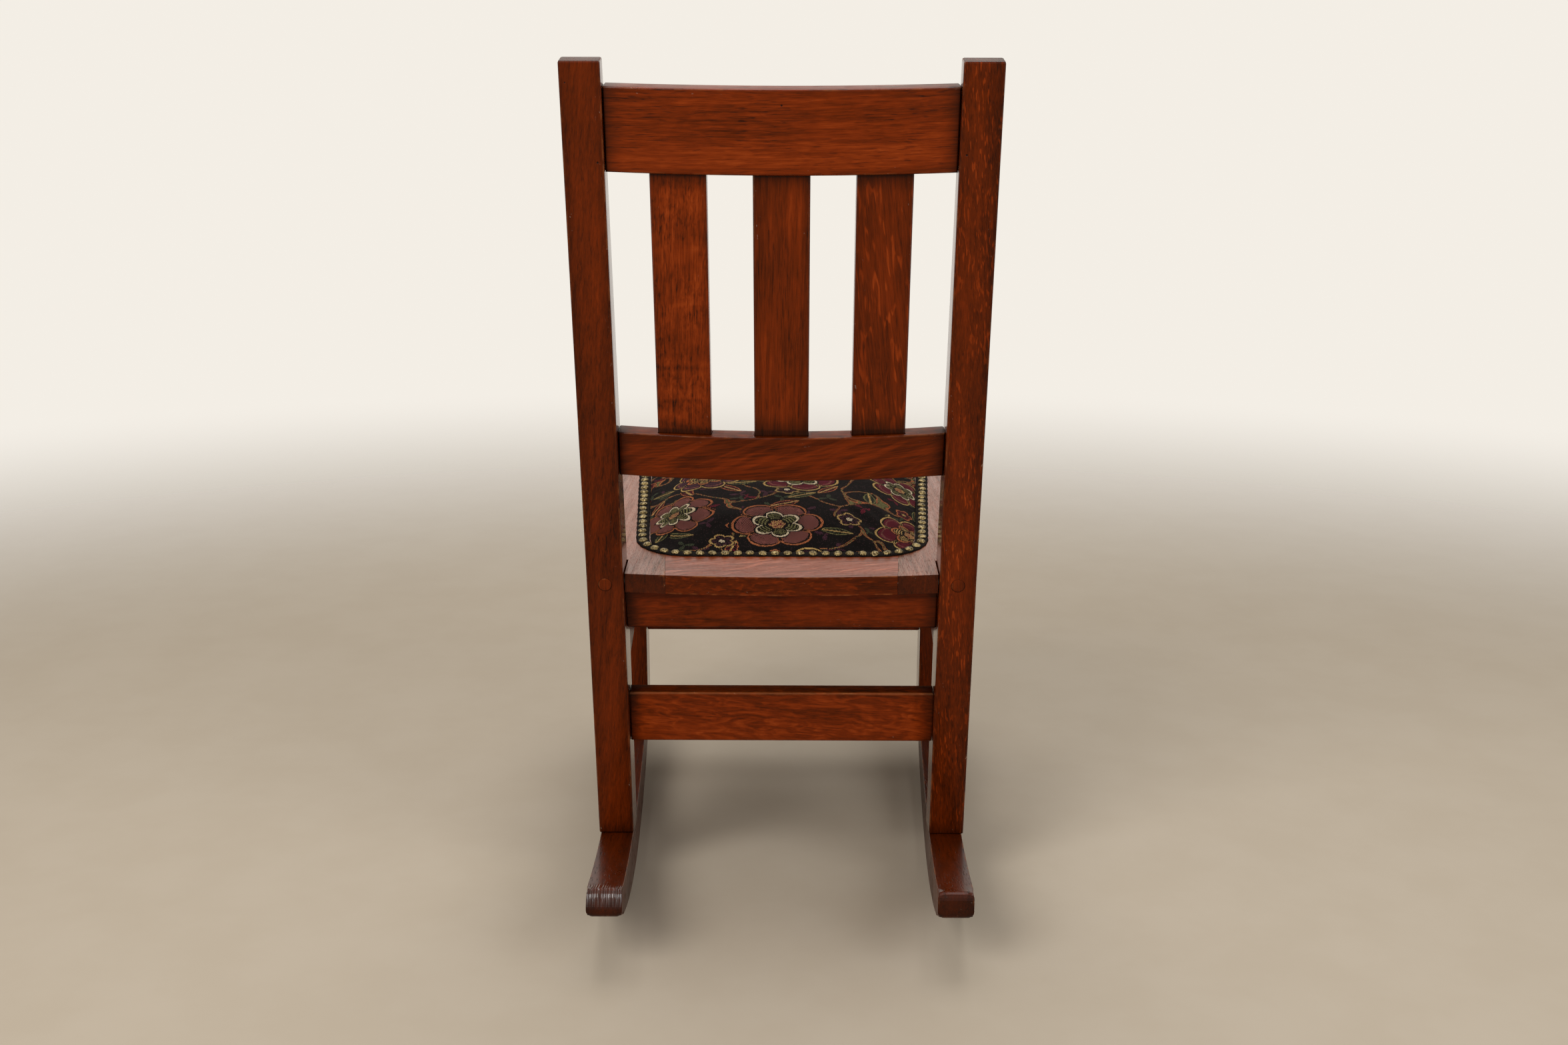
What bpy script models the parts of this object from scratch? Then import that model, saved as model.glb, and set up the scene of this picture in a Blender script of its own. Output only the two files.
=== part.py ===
# Sewing rocker in stained oak: sawn posts, bowed back rails, a plank seat frame and a padded panel.
# Metres, +Z up. +Y is the way the sitter faces and +X is the sitter's right hand.
# The origin is on the floor, midway between the tips of the rockers.

import math

import bmesh
import bpy
from mathutils import Matrix, Vector

# Fits
JOINT_GAP = 0.0003              # glue line between pieces that meet
NOTCH_GAP = 0.0010              # slack of the seat boards beside the posts

# Rear posts: places of the rear face at the foot, the seat and the top
BACK_WIDTH = 0.370              # over the outsides of both posts
POST_WIDTH = 0.035
POST_FOOT_Y = -0.1335
POST_SEAT_Y = -0.1768
POST_TOP_Y = -0.262
POST_TOP_HEIGHT = 0.810
POST_FOOT_DEPTH = 0.036
POST_SEAT_DEPTH = 0.045
POST_RAIL_DEPTH = 0.034         # at the lower back rail
POST_TOP_DEPTH = 0.020
POST_BEND_RADIUS = 0.080        # softens the bends at the seat and the lower rail
POST_EASE = 0.0018

# Front legs
FRONT_LEG_SPREAD = 0.361        # centre to centre
FRONT_LEG_Y = 0.214
FRONT_LEG_SIZE = 0.035

# Rockers
ROCKER_LENGTH = 0.650           # tip to tip, measured level
ROCKER_WIDTH = 0.033
ROCKER_RADIUS = 0.785           # of the underside
ROCKER_LOW_Y = -0.0175          # where the empty chair touches the floor, under its weight
ROCKER_MIDDLE_DEPTH = 0.047
ROCKER_TIP_DEPTH = 0.0218
ROCKER_TIP_ROUND = 0.006
ROCKER_EASE = 0.0028
ROCKER_FACET = math.radians(2.4)  # one straight run of the underside

# Bowed rails of the back, set in from the rear faces of the posts
CREST_HEIGHT = 0.072
CREST_THICKNESS = 0.018
CREST_BOW = 0.0125
CREST_INSET = 0.0045
CREST_DROP = 0.0215             # from the post tops down to the rail
LOWER_RAIL_HEIGHT = 0.043
LOWER_RAIL_THICKNESS = 0.018
LOWER_RAIL_BOW = 0.0135
LOWER_RAIL_INSET = 0.008
LOWER_RAIL_RISE = 0.101         # from the seat up to the rail, along the posts
RAIL_SEGMENTS = 12

# Slats
SLAT_WIDTH = 0.049
SLAT_THICKNESS = 0.0095
SLAT_SPACING = 0.088            # centre to centre
SLAT_HOUSING = 0.010            # depth of the slat ends in the rails

# Seat frame, on a plane that rises to the front
SEAT_REAR_Y = -0.180            # middle of the rear edge
SEAT_REAR_HEIGHT = 0.340
SEAT_PITCH = math.radians(3.2)
SEAT_THICKNESS = 0.019
SEAT_REAR_BOW = 0.009
SEAT_POST_OVERHANG = 0.0025     # past the outsides of the posts
SEAT_LEG_OVERHANG = 0.0145      # past the outsides of the front legs
SEAT_FRONT_OVERHANG = 0.0215    # past the front legs
SEAT_CORNER_ROUND = 0.018
SEAT_EDGE_ROUND = 0.004
SEAT_SIDE_BOARD = 0.074         # width of the side boards
SEAT_CROSS_BOARD = 0.078        # width of the rear and front boards

# Aprons and stretchers
APRON_HEIGHT = 0.041
APRON_THICKNESS = 0.018
REAR_APRON_INSET = 0.014
FRONT_APRON_INSET = 0.006
STRETCHER_HEIGHT = 0.055
STRETCHER_THICKNESS = 0.017
STRETCHER_LEVEL = 0.182         # height of the middle of the cross stretchers
REAR_STRETCHER_INSET = 0.010
SIDE_STRETCHER_HEIGHT = 0.038
SIDE_STRETCHER_THICKNESS = 0.016
SIDE_STRETCHER_LEVEL = 0.209

# Tenons
TENON_THICKNESS = 0.009
TENON_LENGTH = 0.012
SIDE_TENON_LENGTH = 0.009       # shorter, so that they miss the cross tenons
TENON_SHOULDER = 0.005          # above and below each tenon
TENON_ROOT = 0.005              # length buried in the rail

# Dowels, plugs and screws
ROCKER_DOWEL_RADIUS = 0.005
ROCKER_DOWEL_LENGTH = 0.044
SEAT_DOWEL_RADIUS = 0.004
SEAT_DOWEL_LENGTH = 0.036
SEAT_DOWEL_SPACING = 0.032
PLUG_RADIUS = 0.0065
PLUG_DEPTH = 0.007
SCREW_LENGTH = 0.062
SCREW_HEAD_RADIUS = 0.0045
SCREW_HEAD_DEPTH = 0.0035
SCREW_SHANK_RADIUS = 0.0022
SCREW_TIP = 0.006
ROUND_SIDES = 16

# Glue blocks under the seat
GLUE_BLOCK_SIZE = 0.018
GLUE_BLOCK_LENGTH = 0.045
GLUE_BLOCK_CHAMFER = 0.008
GLUE_BLOCK_SPREAD = 0.150       # between the pair on one apron

# Padded panel and its trim
SEAT_BASE_THICKNESS = 0.0055
SEAT_BASE_BEARING = 0.008       # width of the rebate that it lies in
PAD_REAR_MARGIN = 0.057         # from the seat's edges to the outside of the trim
PAD_SIDE_MARGIN = 0.0447
PAD_FRONT_MARGIN = 0.048
PAD_CORNER_ROUND = 0.056
PAD_CROWN = 0.024
PAD_EDGE_HEIGHT = 0.003
PAD_FULLNESS = 2.6              # higher numbers make steeper sides and a flatter top
PAD_RINGS = 9
PAD_SIDE_STEPS = 5              # points along each straight side
GIMP_WIDTH = 0.0125
GIMP_HEIGHT = 0.0022
GIMP_EDGE_HEIGHT = 0.0012

# Edges and arcs
EDGE_EASE = 0.0015              # hand-sanded arrises of rails and slats
EDGE_ANGLE = math.radians(35)   # only edges sharper than this are eased
SMOOTH_ANGLE = math.radians(40)
ROUND_STEPS = 2                 # facets of an eased post, leg or rocker edge
SEAT_EDGE_STEPS = 3
BEND_STEPS = 3
CORNER_STEPS = 4
PAD_CORNER_STEPS = 6
WELD = 1e-6                     # points nearer than this are one
FLAT_ANGLE = 1e-4               # faces nearer than this to one plane are one

# Colours, roughness and metallic value of each material
FINISHES = {
    "stained oak": ((0.105, 0.038, 0.014), 0.32, 0.0),
    "plug oak": ((0.075, 0.026, 0.010), 0.36, 0.0),
    "pale hardwood": ((0.42, 0.27, 0.14), 0.60, 0.0),
    "screw steel": ((0.30, 0.28, 0.26), 0.45, 1.0),
    "floral cloth": ((0.055, 0.035, 0.025), 0.90, 0.0),
    "dark gimp": ((0.030, 0.018, 0.013), 0.85, 0.0),
}

# Values that follow from the driving dimensions
POST_X = BACK_WIDTH / 2 - POST_WIDTH / 2
POST_INNER = BACK_WIDTH / 2 - POST_WIDTH
FRONT_LEG_X = FRONT_LEG_SPREAD / 2
POST_FOOT_MIDDLE = POST_FOOT_Y + POST_FOOT_DEPTH / 2
SIDE_SLOPE = (FRONT_LEG_X - POST_X) / (FRONT_LEG_Y - POST_FOOT_MIDDLE)
LEG_REAR = FRONT_LEG_Y - FRONT_LEG_SIZE / 2
LEG_FRONT = FRONT_LEG_Y + FRONT_LEG_SIZE / 2
SEAT_FRONT = (LEG_FRONT + SEAT_FRONT_OVERHANG - SEAT_REAR_Y) / math.cos(SEAT_PITCH)

SIDES = {"left": -1, "right": 1}
SIDE_VIEW = Matrix(((0, 0, 1, 0), (1, 0, 0, 0), (0, 1, 0, 0), (0, 0, 0, 1)))


# Levels and lines that several pieces share

def rocker_tip_rise():
    half = ROCKER_LENGTH / 2
    return ROCKER_RADIUS - math.sqrt(ROCKER_RADIUS ** 2 - half ** 2)


def rocker_top_radius():
    half = ROCKER_LENGTH / 2
    rise = rocker_tip_rise() + ROCKER_TIP_DEPTH - ROCKER_MIDDLE_DEPTH
    return (half ** 2 + rise ** 2) / (2 * rise)


def rocker_top(y):
    radius = rocker_top_radius()
    return ROCKER_MIDDLE_DEPTH + radius - math.sqrt(radius ** 2 - (y - ROCKER_LOW_Y) ** 2)


def seat_under(y):
    top = SEAT_REAR_HEIGHT + (y - SEAT_REAR_Y) * math.tan(SEAT_PITCH)
    return top - SEAT_THICKNESS / math.cos(SEAT_PITCH)


def side_x(y):
    return POST_X + SIDE_SLOPE * (y - POST_FOOT_MIDDLE)


def post_points():
    rear_foot = Vector((POST_FOOT_Y, rocker_top(POST_FOOT_Y) + JOINT_GAP))
    rear_seat = Vector((POST_SEAT_Y, SEAT_REAR_HEIGHT))
    rear_top = Vector((POST_TOP_Y, POST_TOP_HEIGHT))
    up = (rear_top - rear_seat).normalized()
    forward = Vector((up.y, -up.x))
    rail_level = rear_seat + up * (LOWER_RAIL_RISE + LOWER_RAIL_HEIGHT / 2)
    foot_y = POST_FOOT_Y + POST_FOOT_DEPTH
    return {
        "rear_foot": rear_foot,
        "rear_seat": rear_seat,
        "rear_top": rear_top,
        "front_top": rear_top + forward * POST_TOP_DEPTH,
        "front_rail": rail_level + forward * POST_RAIL_DEPTH,
        "front_seat": Vector((POST_SEAT_Y + POST_SEAT_DEPTH, SEAT_REAR_HEIGHT)),
        "front_foot": Vector((foot_y, rocker_top(foot_y) + JOINT_GAP)),
    }


def along(low, high, z):
    share = (z - low.y) / (high.y - low.y)
    return low.x + share * (high.x - low.x)


def post_rear(z):
    points = post_points()
    return along(points["rear_foot"], points["rear_seat"], z)


def post_front(z):
    points = post_points()
    return along(points["front_foot"], points["front_seat"], z)


# Axes on the rear face of a post: X across the chair, Y forward out of the face, Z up along it
def lean_frame(low, high, distance, inset):
    up = (high - low).normalized()
    forward = Vector((up.y, -up.x))
    origin = low + up * distance + forward * inset
    lean = math.atan2(-up.x, up.y)
    return Matrix.Translation((0, origin.x, origin.y)) @ Matrix.Rotation(lean, 4, "X")


def upper_frame(distance, inset):
    points = post_points()
    return lean_frame(points["rear_seat"], points["rear_top"], distance, inset)


def upper_length():
    points = post_points()
    return (points["rear_top"] - points["rear_seat"]).length


def seat_half_width(y):
    post_front_y = (POST_SEAT_Y + POST_SEAT_DEPTH - SEAT_REAR_Y) / math.cos(SEAT_PITCH)
    leg_y = (FRONT_LEG_Y - SEAT_REAR_Y) / math.cos(SEAT_PITCH)
    at_post = BACK_WIDTH / 2 + SEAT_POST_OVERHANG
    at_leg = FRONT_LEG_X + FRONT_LEG_SIZE / 2 + SEAT_LEG_OVERHANG
    return at_post + (at_leg - at_post) * (y - post_front_y) / (leg_y - post_front_y)


def seat_joint_x(y):
    return seat_half_width(y) - SEAT_SIDE_BOARD


# Scene, materials and modelling helpers

def clear_scene():
    for old in list(bpy.data.objects):
        bpy.data.objects.remove(old, do_unlink=True)


def new_collection(name):
    collection = bpy.data.collections.new(name)
    bpy.context.scene.collection.children.link(collection)
    return collection


def new_empty(name, parent=None):
    empty = bpy.data.objects.new(name, None)
    empty.parent = parent
    parts.objects.link(empty)
    return empty


def finish_material(name):
    material = bpy.data.materials.get(name)
    if material is None:
        colour, roughness, metallic = FINISHES[name]
        material = bpy.data.materials.new(name)
        material.use_nodes = True
        shader = material.node_tree.nodes["Principled BSDF"]
        shader.inputs["Base Color"].default_value = (*colour, 1.0)
        shader.inputs["Roughness"].default_value = roughness
        shader.inputs["Metallic"].default_value = metallic
        material.diffuse_color = (*colour, 1.0)
    return material


def add_part(name, mesh, finish, matrix=Matrix(), parent=None):
    mesh.name = name
    mesh.materials.clear()
    mesh.materials.append(finish_material(finish))
    piece = bpy.data.objects.new(name, mesh)
    piece.parent = parent or chair
    piece.matrix_local = matrix
    parts.objects.link(piece)
    return piece


def add_cutter(name, mesh, matrix=Matrix(), parent=None):
    cutter = bpy.data.objects.new(name, mesh)
    cutter.parent = parent or chair
    cutter.matrix_local = matrix
    cutter.hide_render = True
    cutter.display_type = "WIRE"
    cutters.objects.link(cutter)
    return cutter


def combine(piece, other, operation="DIFFERENCE"):
    modifier = piece.modifiers.new(other.name, "BOOLEAN")
    modifier.operation = operation
    modifier.object = other
    return modifier


def ease(piece, width, segments=1):
    modifier = piece.modifiers.new("eased edges", "BEVEL")
    modifier.width = width
    modifier.segments = segments
    modifier.limit_method = "ANGLE"
    modifier.angle_limit = EDGE_ANGLE
    return modifier


def smooth(mesh):
    mesh.shade_smooth()
    mesh.set_sharp_from_angle(angle=SMOOTH_ANGLE)


def mesh_from(shape, name):
    mesh = bpy.data.meshes.new(name)
    shape.to_mesh(mesh)
    shape.free()
    return mesh


def box(name, size, centre=(0, 0, 0)):
    shape = bmesh.new()
    matrix = Matrix.Translation(centre) @ Matrix.Diagonal((*size, 1))
    bmesh.ops.create_cube(shape, size=1, matrix=matrix)
    return mesh_from(shape, name)


# Corners given as (x, y, radius) become arcs
def rounded(corners, steps=CORNER_STEPS):
    outline = []
    for index, corner in enumerate(corners):
        here = Vector(corner[:2])
        if len(corner) < 3:
            outline.append(here)
            continue
        to_last = (Vector(corners[index - 1][:2]) - here).normalized()
        to_next = (Vector(corners[(index + 1) % len(corners)][:2]) - here).normalized()
        half = to_last.angle(to_next) / 2
        middle = here + (to_last + to_next).normalized() * corner[2] / math.sin(half)
        first = here + to_last * corner[2] / math.tan(half) - middle
        last = here + to_next * corner[2] / math.tan(half) - middle
        turn = first.angle_signed(last)
        for step in range(steps + 1):
            spoke = first.copy()
            spoke.rotate(Matrix.Rotation(-turn * step / steps, 2))
            outline.append(middle + spoke)
    return outline


# A flat outline with a thickness, centred on its own plane
def prism(name, outline, thickness, turn=Matrix()):
    curve = bpy.data.curves.new(name, "CURVE")
    curve.dimensions = "2D"
    curve.fill_mode = "BOTH"
    curve.extrude = thickness / 2
    spline = curve.splines.new("POLY")
    spline.points.add(len(outline) - 1)
    for point, corner in zip(spline.points, outline):
        point.co = (corner[0], corner[1], 0, 1)
    spline.use_cyclic_u = True
    guide = bpy.data.objects.new(name, curve)
    bpy.context.scene.collection.objects.link(guide)
    graph = bpy.context.evaluated_depsgraph_get()
    flat = bpy.data.meshes.new_from_object(guide.evaluated_get(graph))
    bpy.data.objects.remove(guide)
    bpy.data.curves.remove(curve)
    shape = bmesh.new()
    shape.from_mesh(flat)
    bpy.data.meshes.remove(flat)
    bmesh.ops.remove_doubles(shape, verts=shape.verts, dist=WELD)
    bmesh.ops.dissolve_limit(shape, angle_limit=FLAT_ANGLE, verts=shape.verts, edges=shape.edges)
    bmesh.ops.transform(shape, matrix=turn, verts=shape.verts)
    return mesh_from(shape, name)


# Pieces along the sides of the chair follow the spread of the legs
def splay(mesh, side):
    for vertex in mesh.vertices:
        vertex.co.x += side * side_x(vertex.co.y)
    return mesh


# A profile of (radius, height) from top to bottom, turned about Z
def turned(name, profile):
    shape = bmesh.new()
    rings = [shape.verts.new((radius, 0, height)) for radius, height in profile]
    for first, second in zip(rings, rings[1:]):
        shape.edges.new((first, second))
    axis = bpy.data.objects.new(name, mesh_from(shape, name))
    bpy.context.scene.collection.objects.link(axis)
    screw = axis.modifiers.new("turned", "SCREW")
    screw.steps = ROUND_SIDES
    screw.render_steps = ROUND_SIDES
    screw.use_merge_vertices = True
    screw.merge_threshold = WELD
    graph = bpy.context.evaluated_depsgraph_get()
    mesh = bpy.data.meshes.new_from_object(axis.evaluated_get(graph))
    bpy.data.objects.remove(axis)
    shape = bmesh.new()
    shape.from_mesh(mesh)
    bpy.data.meshes.remove(mesh)
    bmesh.ops.remove_doubles(shape, verts=shape.verts, dist=WELD)
    bmesh.ops.recalc_face_normals(shape, faces=shape.faces)
    mesh = mesh_from(shape, name)
    smooth(mesh)
    return mesh


def rod(name, radius, length):
    shape = bmesh.new()
    ends = {"radius1": radius, "radius2": radius}
    bmesh.ops.create_cone(shape, cap_ends=True, segments=ROUND_SIDES, depth=length, **ends)
    mesh = mesh_from(shape, name)
    smooth(mesh)
    return mesh


# Rings of equally many points are skinned in order; the ends are filled, or joined into a hoop
def loft(name, rings, hoop=False):
    shape = bmesh.new()
    rows = [[shape.verts.new(point) for point in ring] for ring in rings]
    pairs = list(zip(rows, rows[1:]))
    if hoop:
        pairs.append((rows[-1], rows[0]))
    else:
        shape.faces.new(rows[0])
        shape.faces.new(rows[-1])
    for lower, upper in pairs:
        for index in range(len(lower)):
            after = (index + 1) % len(lower)
            shape.faces.new((lower[index], lower[after], upper[after], upper[index]))
    bmesh.ops.recalc_face_normals(shape, faces=shape.faces)
    mesh = mesh_from(shape, name)
    smooth(mesh)
    return mesh


# A tenon on a piece, and its mortise in the piece that receives it
def tenon(piece, receiver, name, size, centre, matrix=Matrix(), side=0):
    grown = [length + 2 * JOINT_GAP for length in size]
    tongue = box(name, size, centre)
    pocket = box(name + "_mortise", grown, centre)
    if side:
        splay(tongue, side)
        splay(pocket, side)
    combine(piece, add_cutter(name, tongue, matrix), "UNION")
    combine(receiver, add_cutter(name + "_mortise", pocket, matrix))


def cross_tenons(piece, receivers, half_length, height, matrix):
    size = (TENON_LENGTH + TENON_ROOT, TENON_THICKNESS, height - 2 * TENON_SHOULDER)
    for side_name, side in SIDES.items():
        centre = (side * (half_length + (TENON_LENGTH - TENON_ROOT) / 2), 0, 0)
        tenon(piece, receivers[side_name], f"{piece.name}_tenon_{side_name}", size, centre, matrix)


# A dowel, and the hole that its neighbours get for it
def add_dowel(name, radius, length, matrix, parent=None):
    add_part(name, rod(name, radius, length), "pale hardwood", matrix, parent)
    hole = rod(name + "_hole", radius + JOINT_GAP, length + 2 * JOINT_GAP)
    return add_cutter(name + "_hole", hole, matrix, parent)


# Frame pieces

def make_rear_post(side_name, side):
    points = post_points()
    corners = [
        points["rear_foot"],
        points["front_foot"],
        (*points["front_seat"], POST_BEND_RADIUS),
        (*points["front_rail"], POST_BEND_RADIUS),
        points["front_top"],
        points["rear_top"],
        (*points["rear_seat"], POST_BEND_RADIUS),
    ]
    mesh = prism("rear_post", rounded(corners, BEND_STEPS), POST_WIDTH, SIDE_VIEW)
    place = Matrix.Translation((side * POST_X, 0, 0))
    post = add_part(f"rear_post_{side_name}", mesh, "stained oak", place)
    ease(post, POST_EASE, ROUND_STEPS)
    return post


def make_front_leg(side_name, side):
    corners = [
        (LEG_REAR, rocker_top(LEG_REAR) + JOINT_GAP),
        (LEG_FRONT, rocker_top(LEG_FRONT) + JOINT_GAP),
        (LEG_FRONT, seat_under(LEG_FRONT) - JOINT_GAP),
        (LEG_REAR, seat_under(LEG_REAR) - JOINT_GAP),
    ]
    mesh = prism("front_leg", corners, FRONT_LEG_SIZE, SIDE_VIEW)
    place = Matrix.Translation((side * FRONT_LEG_X, 0, 0))
    leg = add_part(f"front_leg_{side_name}", mesh, "stained oak", place)
    ease(leg, POST_EASE, ROUND_STEPS)
    return leg


# Points on an arc over the rocker's length, with a flat facet centred on its lowest place
def rocker_arc(radius, level, facet):
    reach = {-1: ROCKER_LENGTH / 2 + ROCKER_LOW_Y, 1: ROCKER_LENGTH / 2 - ROCKER_LOW_Y}
    points = []
    for way in (-1, 1):
        tip = math.asin(reach[way] / radius)
        count = max(1, round(tip / facet - 0.5))
        run = []
        for turn in [(step + 0.5) * facet for step in range(count)] + [tip]:
            y = ROCKER_LOW_Y + way * radius * math.sin(turn)
            run.append((y, level - radius * math.cos(turn)))
        points = run[::-1] if way < 0 else points + run
    return points


def make_rocker(side_name, side):
    facet = ROCKER_FACET
    under = rocker_arc(ROCKER_RADIUS, ROCKER_RADIUS * math.cos(facet / 2), facet)
    radius = rocker_top_radius()
    over = rocker_arc(radius, ROCKER_MIDDLE_DEPTH + radius, facet * ROCKER_RADIUS / radius)
    for line in (under, over):
        line[0] = (*line[0], ROCKER_TIP_ROUND)
        line[-1] = (*line[-1], ROCKER_TIP_ROUND)
    mesh = splay(prism("rocker", rounded(under + over[::-1]), ROCKER_WIDTH, SIDE_VIEW), side)
    rocker = add_part(f"rocker_{side_name}", mesh, "stained oak")
    ease(rocker, ROCKER_EASE, ROUND_STEPS)
    return rocker


# A straight or bowed rail between the posts, in axes of its own: X along, Y forward, Z up
def make_rail(name, matrix, size, bow=0.0):
    length = size[0]
    shape = bmesh.new()
    bmesh.ops.create_cube(shape, size=1, matrix=Matrix.Diagonal((*size, 1)))
    if bow:
        lengthwise = [edge for edge in shape.edges if edge.verts[0].co.x * edge.verts[1].co.x < 0]
        bmesh.ops.subdivide_edges(shape, edges=lengthwise, cuts=RAIL_SEGMENTS - 1, use_grid_fill=True)
        for vertex in shape.verts:
            vertex.co.y -= bow * (1 - (2 * vertex.co.x / length) ** 2)
    rail = add_part(name, mesh_from(shape, name), "stained oak", matrix)
    ease(rail, EDGE_EASE)
    return rail


def make_back(posts):
    length = 2 * (POST_INNER - JOINT_GAP)
    crest_middle = upper_length() - CREST_DROP - CREST_HEIGHT / 2
    crest_frame = upper_frame(crest_middle, CREST_INSET + CREST_THICKNESS / 2)
    crest_size = (length, CREST_THICKNESS, CREST_HEIGHT)
    crest = make_rail("crest_rail", crest_frame, crest_size, CREST_BOW)
    cross_tenons(crest, posts, POST_INNER, CREST_HEIGHT, crest_frame)
    lower_middle = LOWER_RAIL_RISE + LOWER_RAIL_HEIGHT / 2
    lower_frame = upper_frame(lower_middle, LOWER_RAIL_INSET + LOWER_RAIL_THICKNESS / 2)
    lower_size = (length, LOWER_RAIL_THICKNESS, LOWER_RAIL_HEIGHT)
    lower = make_rail("lower_back_rail", lower_frame, lower_size, LOWER_RAIL_BOW)
    cross_tenons(lower, posts, POST_INNER, LOWER_RAIL_HEIGHT, lower_frame)
    rails = (crest, crest_frame, lower, lower_frame)
    for order, name in enumerate(("left", "middle", "right")):
        make_slat(f"back_slat_{name}", (order - 1) * SLAT_SPACING, *rails)


# Each slat runs straight between the middles of the two bowed rails and turns with their curve
def make_slat(name, x, crest, crest_frame, lower, lower_frame):
    share = 1 - (x / POST_INNER) ** 2
    foot = lower_frame @ Vector((x, -LOWER_RAIL_BOW * share, LOWER_RAIL_HEIGHT / 2))
    head = crest_frame @ Vector((x, -CREST_BOW * share, -CREST_HEIGHT / 2))
    up = (head - foot).normalized()
    bow = (CREST_BOW + LOWER_RAIL_BOW) / 2
    across = Vector((1, 2 * bow * x / POST_INNER ** 2, 0))
    forward = up.cross(across).normalized()
    across = forward.cross(up)
    matrix = Matrix((across, forward, up)).transposed().to_4x4()
    matrix.translation = (foot + head) / 2
    size = (SLAT_WIDTH, SLAT_THICKNESS, (head - foot).length + 2 * SLAT_HOUSING)
    slat = add_part(name, box(name, size), "stained oak", matrix)
    ease(slat, EDGE_EASE)
    housing = box(name + "_housing", [length + 2 * JOINT_GAP for length in size])
    cutter = add_cutter(name + "_housing", housing, matrix)
    combine(crest, cutter)
    combine(lower, cutter)


def make_rear_apron(posts):
    top = seat_under(post_rear(SEAT_REAR_HEIGHT - SEAT_THICKNESS) + REAR_APRON_INSET) - JOINT_GAP
    rear_top = post_rear(top) + REAR_APRON_INSET
    rear_bottom = post_rear(top - APRON_HEIGHT) + REAR_APRON_INSET
    corners = [
        (rear_bottom, top - APRON_HEIGHT),
        (rear_bottom + APRON_THICKNESS, top - APRON_HEIGHT),
        (rear_top + APRON_THICKNESS, seat_under(rear_top + APRON_THICKNESS) - JOINT_GAP),
        (rear_top, top),
    ]
    mesh = prism("rear_apron", corners, 2 * (POST_INNER - JOINT_GAP), SIDE_VIEW)
    apron = add_part("rear_apron", mesh, "stained oak")
    ease(apron, EDGE_EASE)
    middle = (rear_top + rear_bottom + APRON_THICKNESS) / 2
    place = Matrix.Translation((0, middle, top - APRON_HEIGHT / 2))
    cross_tenons(apron, posts, POST_INNER, APRON_HEIGHT, place)
    return rear_top + APRON_THICKNESS, rear_bottom + APRON_THICKNESS


def make_front_apron(legs):
    front = LEG_FRONT - FRONT_APRON_INSET
    rear = front - APRON_THICKNESS
    top = seat_under(rear) - JOINT_GAP
    corners = [
        (rear, top - APRON_HEIGHT),
        (front, top - APRON_HEIGHT),
        (front, seat_under(front) - JOINT_GAP),
        (rear, top),
    ]
    inner = FRONT_LEG_X - FRONT_LEG_SIZE / 2
    mesh = prism("front_apron", corners, 2 * (inner - JOINT_GAP), SIDE_VIEW)
    apron = add_part("front_apron", mesh, "stained oak")
    ease(apron, EDGE_EASE)
    place = Matrix.Translation((0, (rear + front) / 2, top - APRON_HEIGHT / 2))
    cross_tenons(apron, legs, inner, APRON_HEIGHT, place)
    return rear


# A rail from a rear post to a front leg; its ends are cut to the post's slope and the leg's face
def make_side_rail(name, side, levels, section, post, leg):
    rear_level, front_level = levels
    thickness, height = section
    leg_face = LEG_REAR - JOINT_GAP
    corners = [
        (post_front(rear_level - height) + JOINT_GAP, rear_level - height),
        (leg_face, front_level - height),
        (leg_face, front_level),
        (post_front(rear_level) + JOINT_GAP, rear_level),
    ]
    rail = add_part(name, splay(prism(name, corners, thickness, SIDE_VIEW), side), "stained oak")
    ease(rail, EDGE_EASE)
    size = (TENON_THICKNESS, SIDE_TENON_LENGTH + TENON_ROOT, height - 2 * TENON_SHOULDER)
    shift = (SIDE_TENON_LENGTH - TENON_ROOT) / 2
    rear_centre = (0, post_front(rear_level - height / 2) - shift, rear_level - height / 2)
    front_centre = (0, LEG_REAR + shift, front_level - height / 2)
    tenon(rail, post, name + "_rear_tenon", size, rear_centre, side=side)
    tenon(rail, leg, name + "_front_tenon", size, front_centre, side=side)


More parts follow.
